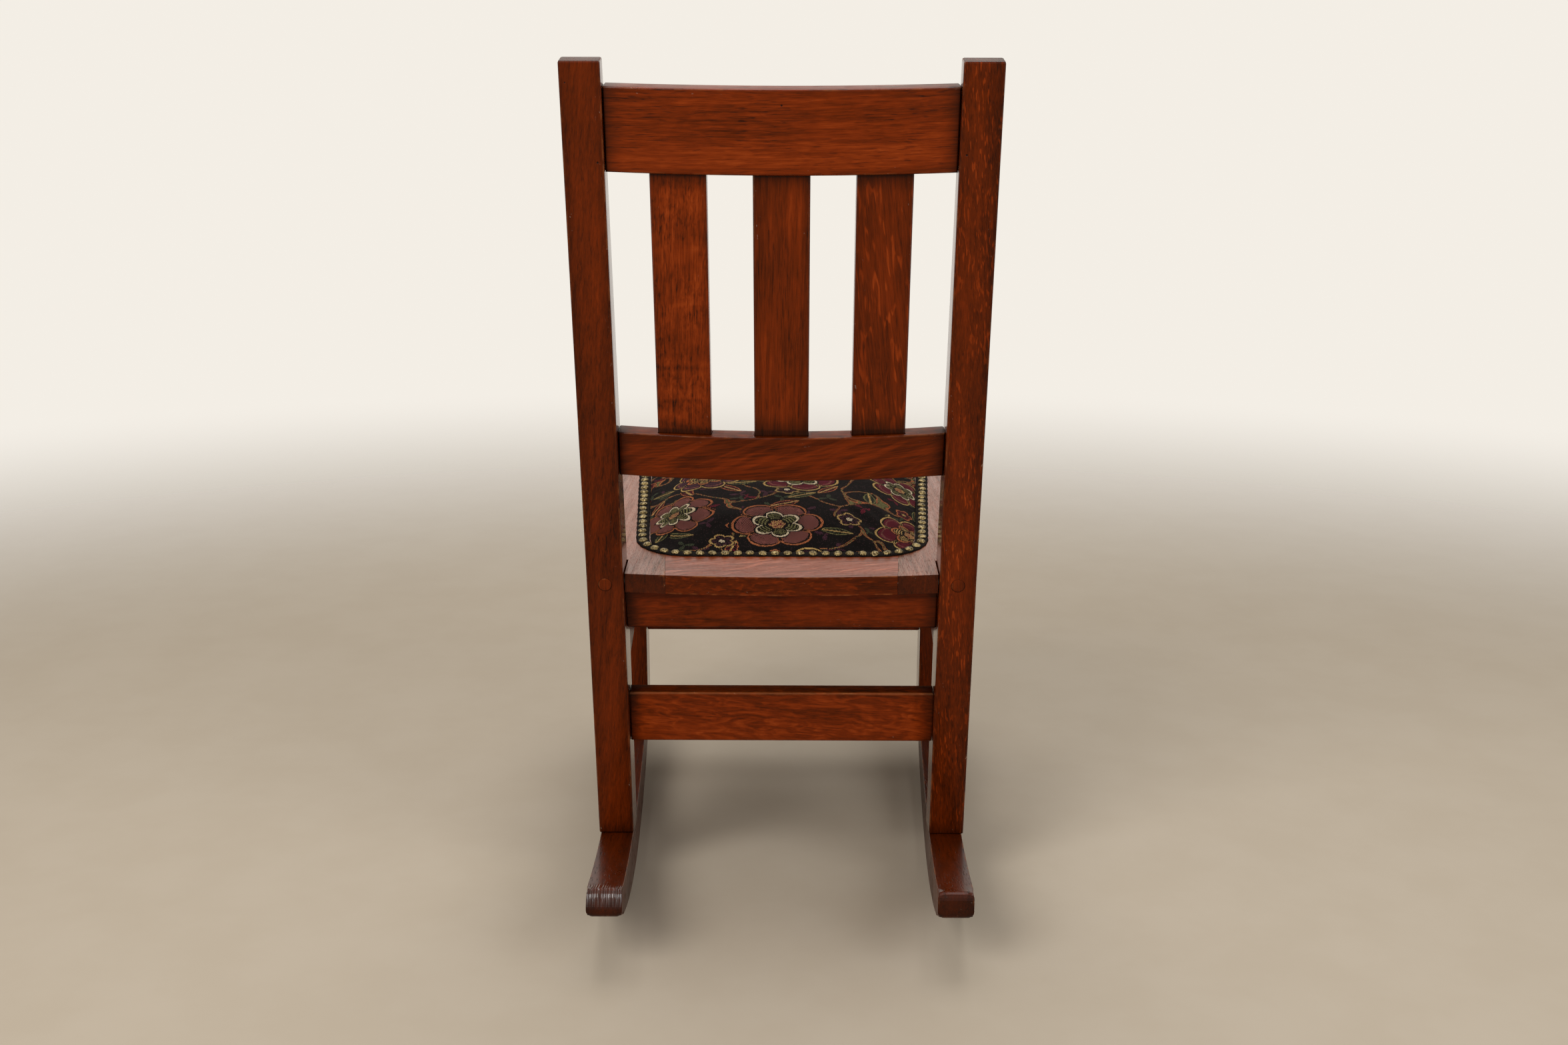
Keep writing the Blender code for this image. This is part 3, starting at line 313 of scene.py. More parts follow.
def makeOak(name, coatRoughness, coatIor):
    wire, material = newMaterial(name)
    grain, place, half = [attribute(wire, key) for key in ("grain", "place", "half")]
    figure = attribute(wire, "figure")      # strength of flame, of curl and of long rays
    marks = attribute(wire, "marks")        # strength of dark dashes, of short flecks and of cross bands
    tone, slope, joint, wear = [attribute(wire, key, 2) for key in ("tone", "slope", "joint", "wear")]
    endGrain, polish, film = [attribute(wire, key, 2) for key in ("endGrain", "polish", "film")]
    field = grainFields(wire, grain, slope)
    level = tone * (1 + (field.broad - 0.5) * 1.6 + (field.streak - 0.5) * (1.5 - figure.part(1) * 0.6)
                    + (field.fibre - 0.5) * 1.2 + (field.flame - 0.3) * 0.55 * figure.part(0)
                    + (field.curl - 0.4) * 0.70 * figure.part(1) + (field.bands - 0.5) * 1.8 * marks.part(2)
                    + field.rays * 0.80 * figure.part(2) + field.flecks * 0.95 * marks.part(1)
                    - field.dashes * 0.58 * marks.part(0) - field.ripple * 0.40 * marks.part(2))

    # end grain and the sides take more stain, and grime gathers beside the joints; these darkenings are also
    # painted shade on some faces, along the sides and in the joints
    gap, edge = edgeGaps(place, half)
    # grime and painted shade: darker over about 20 mm beside each joint, darkest in the joint line itself
    jointGrimeAndShade = (1 - joint.rise(-0.002, 0.020)) * 0.60 + (1 - joint.rise(0.0, 0.0030)) * 0.18
    # stain and painted shade: darker along the long sides of each piece
    sides = (1 - gap[1].rise(0.0, oak["sideReach"])) * oak["sideStainAndShade"]
    # end grain is darker from stain; on the seat rear board's edges and on the stretcher top, this same darkening
    # is painted shade
    level = level * (1 - endGrain * 0.5) * (1 - jointGrimeAndShade) * (1.06 - sides)
    stops = [(shade[0] * 2, shade) for shade in oak["stain"]]
    colour = wire.node("ShaderNodeValToRGB", {"stops": stops}, {0: level * 2})

    # the pale film on the seat tops is bleached finish and painted sheen, broken by scratches and open pores
    bleachedAndSheen = film * (1 + (field.broad - 0.5) * 1.2 + (field.streak - 0.5) * 1.6)
    bleachedAndSheen = bleachedAndSheen * (1 - field.scratch * 0.40) * (1 - field.pores * 0.55)
    colour = bleachedAndSheen.mix(colour, film.rise(0.06, 0.10).mix(oak["bleachSheenColour"], oak["bleachSheenGrey"]))

    # the arrises are rubbed pale and hold specks of dust
    bared = (field.rub.rise(0.48, 0.70) + (wear - 1) * 0.45).math("MINIMUM", 1.0)
    worn = (1 - (edge + (field.rub - 0.5) * 0.004).rise(0.0004, 0.0026)) * bared
    colour = (worn * wear * 0.45).mix(colour, oak["worn"])
    specks = field.chips.rise(0.69, 0.74) * (1 - edge.rise(0.002, 0.012)) * field.rub.rise(0.48, 0.62)
    colour = (specks * 0.30).mix(colour, oak["dust"])
    holes = tackHoles(wire)
    colour = (holes * 0.92).mix(colour, oak["dirt"])

    rough = oak["roughness"] + (field.smudge - 0.5) * 0.25 + field.dashes * 0.12 + worn * 0.2
    broken = (field.pores * 0.50 + field.scratch * 0.35 - field.rays * figure.part(2) * 0.45
              - (field.flame - 0.3) * 0.35 - (field.streak - 0.5) * 0.9)
    sheen = 1 - worn * 0.5 - field.dashes * 0.15 + (field.smudge - 0.5) * 0.5 - broken * film.rise(0.0, 0.05)
    height = ((field.streak - 0.5) * 0.10 + (field.fibre - 0.5) * 0.18 - field.dashes * marks.part(0) * 0.5
              - holes * 3.0 + endGrain * (field.comb - 0.5) * 2.5)
    return finishMaterial(wire, material, {
        "Base Color": colour, "Roughness": rough, "Coat Weight": polish * sheen - holes * 0.4,
        "Coat Roughness": coatRoughness, "Coat IOR": coatIor, "Specular IOR Level": oak["specular"],
    }, height, oak["bump"])


# Grain of each kind of piece: places along, across and through the board,
# the same from its middle, and half its size there

def centred(local):
    low, high = local.min(0), local.max(0)
    return local - (high + low) / 2, np.broadcast_to((high - low) / 2, local.shape).copy()


def boardGrain(points, axes):
    axes = np.array(axes, float)
    axes /= np.linalg.norm(axes, axis=1)[:, None]
    local = points @ axes.T
    return local, *centred(local)


def leanOf(line):
    (lowY, lowZ), (highY, highZ) = line
    up = Vector((0, highY - lowY, highZ - lowZ)).normalized()
    return up, Vector((0, up.z, -up.y))


def railGrain(points, line, bow):
    local = points @ np.array([xAxis, *leanOf(line)]).T
    local[:, 2] += bow * (1 - np.minimum(1, (local[:, 0] / chair["railHalf"]) ** 2))
    return local, *centred(local)


def sawnGrain(local, near, far):        # a piece sawn between two curves
    low, high = local[:, 0].min(), local[:, 0].max()
    place, half = local.copy(), np.zeros_like(local)
    place[:, 0] -= (low + high) / 2
    place[:, 2] -= (near + far) / 2
    half[:, 0] = (high - low) / 2
    half[:, 1] = np.abs(place[:, 1]).max()
    half[:, 2] = np.maximum((far - near) / 2, np.abs(place[:, 2]))
    return local, place, half


def postGrain(points):
    x, y, z = points.T
    rear, front = [np.interp(z, *np.array(chair[key]).T[::-1]) for key in ("rearLine", "frontLine")]
    return sawnGrain(np.stack([z, x - np.sign(x.mean()) * chair["postX"], y], 1), rear, front)


# The front ends of the rockers turn out a little past the legs
rockerFront = dict(start=0.205, reach=0.120, splay=0.0048, power=1.5)


def frontSplay(y):
    share = np.maximum(0, (y - rockerFront["start"]) / rockerFront["reach"])
    return rockerFront["splay"] * share ** rockerFront["power"]


def rockerGrain(points):
    x, y, z = points.T
    run = y - chair["rockerLow"]
    under = chair["underRadius"] - np.sqrt(chair["underRadius"] ** 2 - run ** 2)
    over = chair["rockerDepth"] + chair["overRadius"] - np.sqrt(chair["overRadius"] ** 2 - run ** 2)
    middle = np.sign(x.mean()) * (sideX(y) + frontSplay(y))
    return sawnGrain(np.stack([y, x - middle, z], 1), under, over)


def seatGrain(points, lengthwise):
    toSeat = np.array(seatPlane.inverted())
    flat = points @ toSeat[:3, :3].T + toSeat[:3, 3]
    grain = flat[:, [1, 0, 2]] if lengthwise else flat
    local = grain.copy()
    if lengthwise:
        local[:, 1] = np.abs(flat[:, 0]) - seatHalf(flat[:, 1])
    elif flat[:, 1].mean() < chair["seatFront"] / 2:
        local[:, 1] -= chair["seatBow"] * (flat[:, 0] / chair["railHalf"]) ** 2
    return grain, *centred(local)


# The rocker ends are worn round, and one of them has its soft grain washed out in grooves

rockerTip = dict(start=0.290, reach=0.030, radius=0.0060, leastRadius=0.0028, eased=0.0016, grid=0.0020,
                 nose=0.010, shortNose=0.002, noseReach=0.018, noseRise=(0.20, 1.25), grooved="rocker_left",
                 fine=0.00040, groove=0.00046, grooveRise=(0.10, 0.55), grooveFacing=(-0.2, 0.2), spacing=0.0026,
                 polish=1.0, polishFacing=(0.20, 0.50), dull=0.85)


def tipWave(points):        # 1 in the grooves and 0 on the ridges between them
    phase = 2 * math.pi * points[:, 0] / rockerTip["spacing"]
    return 0.5 + 0.5 * np.sin(phase + 1.6 * np.sin(phase * 0.23) + 0.7 * np.sin(phase * 0.61 + points[:, 2] * 300))


def sliceTip(piece, end, axis, spacing):
    tip = meshPoints(piece)
    tip = tip[tip[:, 1] * end > rockerTip["start"]][:, axis]
    normal = Vector((xAxis, yAxis, zAxis)[axis])
    for level in np.arange(tip.min() + spacing / 2, tip.max(), spacing):
        centres = readVectors(piece.data.polygons, "center")
        piece.data.polygons.foreach_set("select", centres[:, 1] * end > rockerTip["start"])
        editMesh()
        bpy.ops.mesh.bisect(plane_co=normal * level, plane_no=normal)
        leaveMesh()


def roundTips(piece, grooved):
    takeUp(piece)
    bpy.context.tool_settings.mesh_select_mode = (False, False, True)
    for end in (-1, 1):
        editMesh()
        sliceWhole((0, end * rockerTip["start"], 0), yAxis)
        leaveMesh()
        sliceTip(piece, end, 0, rockerTip["fine"] if grooved and end < 0 else rockerTip["grid"])
        sliceTip(piece, end, 1, rockerTip["grid"])
        sliceTip(piece, end, 2, rockerTip["grid"])
    bpy.context.tool_settings.mesh_select_mode = (True, False, False)
    points = meshPoints(piece)
    place, half = rockerGrain(points)[1:]
    wear = smoothRise(0, rockerTip["reach"], np.abs(points[:, 1]) - rockerTip["start"])
    side, rise = np.sign(place[:, 1]), np.sign(place[:, 2])
    radius = rockerTip["radius"] * wear
    across, through = np.abs(place[:, 1]) - half[:, 1] + radius, np.abs(place[:, 2]) - half[:, 2] + radius
    corner = (radius > rockerTip["leastRadius"]) & (across > 0) & (through > 0)
    across, through, radius = across[corner], through[corner], radius[corner]
    reach = np.maximum(np.maximum(across, through), (across + through) / (2 - rockerTip["eased"] / radius))
    pull = reach / np.hypot(across, through) - 1
    points[corner, 0] += side[corner] * across * pull
    points[corner, 2] += rise[corner] * through * pull
    height = 0.5 + 0.5 * place[:, 2] / half[:, 2]
    shy = np.abs(points[:, 1]).max() - np.abs(points[:, 1])
    pull = smoothRise(*rockerTip["noseRise"], height) * np.maximum(0, 1 - shy / rockerTip["noseReach"])
    points[:, 1] -= np.sign(points[:, 1]) * pull * rockerTip["nose" if grooved else "shortNose"]
    setPoints(piece, points)
    if grooved:
        normals = readVectors(piece.data.vertex_normals, "vector")
        upper = smoothRise(*rockerTip["grooveRise"], height) * smoothRise(*rockerTip["grooveFacing"], normals[:, 2])
        depth = rockerTip["groove"] * tipWave(points) * upper * wear * (points[:, 1] < 0)
        setPoints(piece, points - normals * depth[:, None])


# Rails meet the posts and legs flush: the ease on their shoulders is closed again
rearRails = ("crest_rail", "lower_back_rail", "rear_stretcher", "rear_apron")
railEnds = dict(ease=0.0015, reach=1.7, same=1e-4,
                shoulder=dict.fromkeys(rearRails, 0.1497) | {"front_stretcher": 0.1627, "front_apron": 0.1627})


def squareEnds(piece, shoulder):
    points = meshPoints(piece)
    for side in (-1, 1):
        level = points[:, 0] * side - shoulder
        full = np.nonzero(np.abs(level + railEnds["ease"]) < railEnds["same"])[0]
        eased = np.nonzero(np.abs(level) < railEnds["same"])[0]
        away = np.linalg.norm(points[eased][:, None, 1:] - points[full][None, :, 1:], axis=2)
        near = away.min(1) < railEnds["reach"] * railEnds["ease"]
        points[eased[near], 1:] = points[full[away.argmin(1)[near]], 1:]
    setPoints(piece, points)


def cutAcross(piece, axis, spacing):
    points = meshPoints(piece) @ np.array(axis)
    count = max(1, round((points.max() - points.min()) / spacing))
    takeUp(piece)
    editMesh()
    for step in range(1, count):
        level = points.min() + (points.max() - points.min()) * step / count
        sliceWhole(Vector(axis) * level, axis)
    leaveMesh()


def chamferRear(piece, width, depth):
    takeUp(piece)
    editMesh("DESELECT")
    leaveMesh()
    for face in piece.data.polygons:
        face.select = face.normal.y < -0.9      # the faces that look to the rear
    editMesh()
    bpy.ops.mesh.inset(thickness=width, depth=depth)
    leaveMesh()


# Each show-wood piece: its grain, the way its long side runs, tone, slope of the grain,
# figure (flame, curl, rays) and marks (dashes, flecks, bands)

upperLine, lowerLine = chair["rearLine"][1:], chair["rearLine"][:2]
upperUp, upperForward = leanOf(upperLine)
slat = partial(boardGrain, axes=(upperUp, xAxis, upperForward))
crossBoard = partial(boardGrain, axes=(xAxis, zAxis, yAxis))
upright = partial(boardGrain, axes=(zAxis, xAxis, yAxis))
crest = partial(railGrain, line=upperLine, bow=chair["crestBow"])
lowerRail = partial(railGrain, line=upperLine, bow=chair["lowerBow"])
stretcher = partial(railGrain, line=lowerLine, bow=0)
seatSide = partial(seatGrain, lengthwise=True)
seatEnd = partial(seatGrain, lengthwise=False)
woodwork = {
    "rear_post_left": (postGrain, zAxis, 0.086, 0.10, (0.25, 0.15, 0.05), (0.50, 0.15, 0.10)),
    "rear_post_right": (postGrain, zAxis, 0.084, -0.06, (0.15, 0.10, 0.30), (0.45, 1.25, 0.10)),
    "crest_rail": (crest, xAxis, 0.158, 0.02, (0.25, 0.30, 0.05), (0.65, 0.10, 0.05)),
    "lower_back_rail": (lowerRail, xAxis, 0.113, 0.45, (1.0, 0.10, 0.0), (0.15, 0.0, 0.0)),
    "back_slat_left": (slat, zAxis, 0.178, 0.04, (0.10, 0.45, 0.0), (0.60, 0.0, 0.60)),
    "back_slat_middle": (slat, zAxis, 0.118, 0.01, (0.75, 0.10, 0.10), (0.50, 0.0, 0.10)),
    "back_slat_right": (slat, zAxis, 0.110, -0.10, (0.30, 0.05, 1.15), (0.30, 0.10, 0.10)),
    "rear_stretcher": (stretcher, xAxis, 0.153, -0.08, (0.15, 0.95, 0.05), (0.20, 0.0, 0.25)),
    "front_stretcher": (crossBoard, xAxis, 0.130, 0.10, (0.2, 0.9, 0.1), (0.2, 0.0, 0.05)),
    "rear_apron": (crossBoard, xAxis, 0.123, 0.03, (0.15, 0.60, 0.0), (0.10, 0.0, 0.30)),
    "front_apron": (crossBoard, xAxis, 0.120, -0.05, (0.3, 0.4, 0.3), (0.3, 0.0, 0.2)),
    "front_leg_left": (upright, zAxis, 0.100, 0.08, (0.3, 0.1, 0.2), (0.6, 0.3, 0.1)),
    "front_leg_right": (upright, zAxis, 0.096, -0.08, (0.2, 0.1, 0.4), (0.5, 0.5, 0.1)),
    "rocker_left": (rockerGrain, yAxis, 0.056, 0.03, (0.3, 0.1, 0.0), (0.7, 0.0, 0.1)),
    "rocker_right": (rockerGrain, yAxis, 0.056, -0.03, (0.3, 0.1, 0.0), (0.7, 0.0, 0.1)),
    "seat_side_board_left": (seatSide, yAxis, 0.140, 0.05, (0.3, 0.1, 0.1), (0.30, 0.2, 0.1)),
    "seat_side_board_right": (seatSide, yAxis, 0.140, -0.05, (0.3, 0.1, 0.1), (0.30, 0.2, 0.1)),
    "seat_rear_board": (seatEnd, xAxis, 0.150, 0.35, (0.4, 0.1, 0.9), (0.3, 0.2, 0.0)),
    "seat_front_board": (seatEnd, xAxis, 0.150, -0.35, (0.4, 0.1, 0.9), (0.3, 0.2, 0.0)),
}
for handed, sign in (("left", -1), ("right", 1)):
    sideBoard = partial(boardGrain, axes=((sign * chair["sideSlope"], 1, 0), zAxis, xAxis))
    for kind in ("side_apron", "side_stretcher"):
        woodwork[f"{kind}_{handed}"] = (sideBoard, yAxis, 0.112, 0.08, (0.4, 0.5, 0.2), (0.4, 0.1, 0.1))
    woodwork[f"post_plug_{handed}"] = (upright, zAxis, 0.112, 0.0, (0.1, 0.0, 0.0), (0.4, 0.0, 0.0))

woodForm = dict(cutSpacing=0.028, smooth=60, chamfer=(0.0016, 0.0005), ringWidth=0.0003, ringGap=0.03, freeGap=0.1,
                shift=(0.4, 3.0, 3.0), topWearAndShade={"rear_stretcher": 1.6})

# The varnish on each face, by the way the face looks: strength of its coat, and the pale film on the seat tops,
# which is bleached finish and painted sheen.
# Facing ranges are of the normal's part along the board, upwards or sideways.
varnish = dict(
    coat=(0.13, 1.6), seatCoat=(0.34, 1.5),         # roughness and index
    top=0.15, side=0.03, end=0.10, flank=0.80,
    # the second value is the film of bleached finish with painted sheen on the seat tops
    seatTop={"seat_side_board_left": (1.0, 0.10), "seat_side_board_right": (1.0, 0.10),      # coat and film
             "seat_rear_board": (0.70, 0.06), "seat_front_board": (0.70, 0.06)},
    endFacing=(0.30, 0.85), topFacing=(0.3, 0.8), flankFacing=(0.6, 0.9), bleachSheenFacing=(0.6, 0.95),
    shadedTopFacing=(0.75, 0.95), sideBoardEnds=1.3, rearBoardShade=0.66,
)


# Distance along a piece from the nearest joint it runs into
def jointGap(node, points):
    if node in rearRails:
        return chair["railHalf"] - np.abs(points[:, 0])
    if "slat" in node:
        low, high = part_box("lower_back_rail")[1][2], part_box("crest_rail")[0][2]
        return np.minimum(points[:, 2] - low, high - points[:, 2])
    if "plug" in node:
        spoke = centred(points[:, [0, 2]])[0]
        reach = np.hypot(*spoke.T)
        return np.where(reach > reach.max() - woodForm["ringWidth"], 0.0, woodForm["ringGap"])
    if "post" in node:
        return points[:, 2] - points[:, 2].min()
    return np.full(len(points), woodForm["freeGap"])


def shapeWood(node, along):
    piece = copyNode(node, node.replace("_", "-") + "-wood")
    if node in railEnds["shoulder"]:
        squareEnds(piece, railEnds["shoulder"][node])
    if "plug" in node:
        chamferRear(piece, *woodForm["chamfer"])
    else:
        cutAcross(piece, along, woodForm["cutSpacing"])
    if "rocker" in node:
        points = meshPoints(piece)
        points[:, 0] += np.sign(points[:, 0]) * frontSplay(points[:, 1])
        setPoints(piece, points)
        roundTips(piece, node == rockerTip["grooved"])
    softNormals(piece, woodForm["smooth"])
    return piece


def varnishFaces(piece, node, along):
    facing = readVectors(piece.data.polygons, "normal")
    up = facing[:, 2]
    endsAndShade = smoothRise(*varnish["endFacing"], np.abs(facing @ np.array(along)))
    topCoat, film = varnish["seatTop"].get(node, (varnish["top"], 0))
    polish = varnish["side"] + (topCoat - varnish["side"]) * smoothRise(*varnish["topFacing"], up)
    polish = polish + (varnish["end"] - polish) * endsAndShade
    if along == zAxis:
        flanks = smoothRise(*varnish["flankFacing"], np.abs(facing[:, 0]))
        polish = np.maximum(polish, varnish["flank"] * flanks)
    if node == rockerTip["grooved"]:
        centres = readVectors(piece.data.polygons, "center")
        tips = smoothRise(0, rockerTip["reach"], -centres[:, 1] - rockerTip["start"])
        tips = tips * (1 - rockerTip["dull"] * tipWave(centres)) * smoothRise(*rockerTip["polishFacing"], up)
        polish = np.maximum(polish, rockerTip["polish"] * tips)
    if "seat_side" in node:
        endsAndShade = endsAndShade * varnish["sideBoardEnds"]
    # painted shade: the upright faces of the seat rear board are darkened like end grain
    if node == "seat_rear_board":
        endsAndShade = varnish["rearBoardShade"] * (1 - smoothRise(*varnish["topFacing"], np.abs(up)))
    # painted shade: the top faces of these pieces are darkened like end grain, besides the wear on their arris
    if node in woodForm["topWearAndShade"]:
        endsAndShade = smoothRise(*varnish["shadedTopFacing"], up)
    give(piece, "endGrain", endsAndShade, "FACE")
    give(piece, "polish", polish, "FACE")
    # the film of bleached finish and painted sheen goes on up-facing faces only
    give(piece, "film", film * smoothRise(*varnish["bleachSheenFacing"], up), "FACE")


def makeWoodwork():
    finish = makeOak("stained_oak_finish", *varnish["coat"])
    seatFinish = makeOak("rubbed_seat_finish", *varnish["seatCoat"])
    spread = np.random.default_rng(11)
    for node, (rule, along, tone, slope, figure, marks) in woodwork.items():
        piece = shapeWood(node, along)
        points = meshPoints(piece)
        grain, place, half = rule(points)
        topWearAndShade = woodForm["topWearAndShade"].get(node, 1.0)
        layers = dict(grain=grain + spread.uniform(-1, 1, 3) * woodForm["shift"], place=place, half=half,
                      figure=np.tile(figure, (len(points), 1)), marks=np.tile(marks, (len(points), 1)),
                      tone=np.full(len(points), tone), slope=np.full(len(points), slope),
                      joint=jointGap(node, points), wear=np.where(place[:, 1] > 0, topWearAndShade, 1.0))
        for name, values in layers.items():
            give(piece, name, values)
        varnishFaces(piece, node, along)
        dress(piece, seatFinish if "seat" in node else finish, node)
    print("woodwork dressed:", len(woodwork), "pieces")


makeWoodwork()


# Bare wood and steel inside the joints

bare = dict(pale=(0.42, 0.27, 0.14), dark=(0.25, 0.145, 0.07), roughness=0.66, bump=(0.0003, 0.4))
steel = dict(bright=(0.42, 0.40, 0.37), dull=(0.16, 0.13, 0.11), roughness=0.42)


def makeBareWood():
    wire, material = newMaterial("bare_hardwood")
    where = objectPlace(wire)
    streak = where.noise((38, 420, 420), 3.0, 0.6)
    sawn = where.noise((900, 90, 900), 2.0)
    colour = streak.rise(0.35, 0.68).mix(bare["dark"], bare["pale"])
    return finishMaterial(wire, material, {"Base Color": colour, "Roughness": bare["roughness"] + sawn * 0.15},
                          streak * 0.4 + sawn * 0.6, bare["bump"])


def makeSteel():
    wire, material = newMaterial("dull_screw_steel")
    stain = objectPlace(wire).noise((700, 700, 700), 3.0, 0.6)
    colour = stain.rise(0.4, 0.65).mix(steel["dull"], steel["bright"])
    rough = steel["roughness"] + stain * 0.2
    return finishMaterial(wire, material, {"Base Color": colour, "Roughness": rough, "Metallic": 1.0})


def dressInside():
    wood, metal = makeBareWood(), makeSteel()
    for name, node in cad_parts.items():
        if name in woodwork or name in ("seat_pad", "gimp_band"):
            continue
        for slot in node.material_slots:
            slot.material = metal if "screw" in name else wood
    print("inner parts dressed")


dressInside()


# Line of the trim round the padded panel, in the axes of the seat

trim = dict(rear=0.057, front=0.048, side=0.0447, corner=0.056, cornerSteps=24, gimpWidth=0.0125)


def trimLine(inset, count):
    rear, front = trim["rear"] + inset, chair["seatFront"] - trim["front"] - inset
    low, high = seatHalf(rear) - trim["side"] - inset, seatHalf(front) - trim["side"] - inset
    corners = [complex(low, rear), complex(high, front), complex(-high, front), complex(-low, rear)]
    radius, steps = trim["corner"] - inset, trim["cornerSteps"]
    line = []
    for index, here in enumerate(corners):
        back, ahead = corners[index - 1] - here, corners[(index + 1) % 4] - here
        back, ahead = back / abs(back), ahead / abs(ahead)
        half = abs(np.angle(ahead / back)) / 2
        middle = here + (back + ahead) / abs(back + ahead) * radius / math.sin(half)
        first = here + back * radius / math.tan(half) - middle
        turn = math.pi - 2 * half
        line += [middle + first * np.exp(1j * turn * step / steps) for step in range(steps + 1)]
    line = np.array(line + line[:1])
    along = np.concatenate([[0], np.cumsum(np.abs(np.diff(line)))])
    places = np.linspace(0, along[-1], count, endpoint=False)
    even = np.interp(places, along, line.real) + 1j * np.interp(places, along, line.imag)
    ahead = np.roll(even, -1) - np.roll(even, 1)
    outward = ahead / np.abs(ahead) * -1j
    return even, outward, along[-1]


nails = dict(spacing=0.0123, sideGap=0.20, inset=0.0048, sideInset=0.0018, level=0.0011, steps=4000,
             radius=0.0045, rise=0.0025, sides=12, rings=8, cut=0.0001, tilt=0.06, slip=0.00025, smooth=55,
             gold=(0.205, 0.145, 0.058), dark=(0.026, 0.016, 0.007), bright=(0.47, 0.38, 0.20),
             dents=560.0, bump=(0.0009, 0.9))


def nailShares():       # places of the nails as shares of the line, wider apart along the sides
    outward, length = trimLine(nails["inset"], nails["steps"])[1:]
    gap = nails["spacing"] * (1 + nails["sideGap"] * outward.real ** 2)
    passed = np.concatenate([[0], np.cumsum(length / nails["steps"] / gap)])
    count = round(passed[-1])
    return np.interp(np.arange(count) * passed[-1] / count, passed, np.linspace(0, 1, nails["steps"] + 1))


def nailWave(share):    # 1 at each nail and -1 half way to the next
    shares = nailShares()
    return np.cos(2 * math.pi * np.interp(share, np.append(shares, 1.0), np.arange(len(shares) + 1)))


# Padded panel: the CAD pad is remeshed, blown up as cloth and given a woven floral cover

pad = dict(
    voxel=0.0045, skirt=-0.010, skirtBelow=0.001, rim=0.0035, start=0.86, heldBelow=0.0016, frames=20, cap=0.005,
    lump=0.0007, pucker=0.0005, foot=0.0004, shoulder=0.018, slope=(3.0, 0.75), cadSlope=2.6,
    rimPower=5, rimSteps=900, above=0.002, fullest=0.995, lumpShare=(0.72, 0.97), nearShare=0.8,
    pullShare=(0.86, 0.95), endShare=(0.97, 1.0), dropShare=(0.55, 0.85),
    settings=dict(quality=6, mass=0.35, tension_stiffness=18, compression_stiffness=18, bending_stiffness=1.2,
                  use_pressure=True, uniform_pressure_force=4.0, vertex_group_mass="held"),
)


def blowUp(cushion):
    takeUp(cushion)
    start = meshPoints(cushion)
    held = cushion.vertex_groups.new(name="held")
    held.add([int(i) for i in np.nonzero(start[:, 2] < pad["heldBelow"])[0]], 1.0, "REPLACE")
    blown = cushion.modifiers.new("cloth", "CLOTH")
    for key, value in pad["settings"].items():
        setattr(blown.settings, key, value)
    blown.settings.effector_weights.gravity = 0
    blown.collision_settings.use_collision = False
    blown.point_cache.frame_start = 1
    blown.point_cache.frame_end = pad["frames"]
    for step in range(1, pad["frames"] + 1):
        scene.frame_set(step)
    bpy.ops.object.modifier_apply(modifier=blown.name)
    scene.frame_set(1)
    moved = meshPoints(cushion) - start
    length = np.linalg.norm(moved, axis=1)[:, None]
    moved *= np.minimum(1, pad["cap"] / np.maximum(length, 1e-9))
    setPoints(cushion, start + moved)
    print("cushion blown up by", round(float(length.max()) * 1000, 1), "mm at most")


def makeCushion(finish):
    cushion = copyNode("seat_pad", "floral-cushion")
    cushion.data.transform(seatPlane.inverted())
    points = meshPoints(cushion)
    points[points[:, 2] < pad["skirtBelow"], 2] = pad["skirt"]
    high, rim = points[:, 2] > pad["rim"], pad["rim"]
    points[high, 2] = rim + (points[high, 2] - rim) * pad["start"]
    setPoints(cushion, points)
    takeUp(cushion)
    cushion.data.remesh_voxel_size = pad["voxel"]
    bpy.ops.object.voxel_remesh()
    blowUp(cushion)
    shapeStuffing(cushion)
    smooth = cushion.modifiers.new("smooth", "SUBSURF")
    smooth.levels = smooth.render_levels = 1
    bpy.ops.object.modifier_apply(modifier=smooth.name)
    editMesh()
    sliceWhole((0, 0, pad["foot"]), zAxis, clear_inner=True, use_fill=True)
    leaveMesh()
    give(cushion, "cloth", clothPlaces(meshPoints(cushion)))
    bpy.ops.object.shade_smooth()
    cushion.data.transform(seatPlane)
    dress(cushion, finish, "seat_pad")
    print("cushion made:", len(cushion.data.polygons), "faces")


panelMiddle = (trim["rear"] + chair["seatFront"] - trim["front"]) / 2
panelDepth = (chair["seatFront"] - trim["front"] - trim["rear"]) / 2


def rimShare(points):       # 0 in the middle of the panel and 1 at the inner edge of the gimp
    across = points[:, 0] / (seatHalf(points[:, 1]) - trim["side"] - trim["gimpWidth"])
    along = (points[:, 1] - panelMiddle) / (panelDepth - trim["gimpWidth"])
    power = pad["rimPower"]
    return (np.abs(across) ** power + np.abs(along) ** power) ** (1 / power)


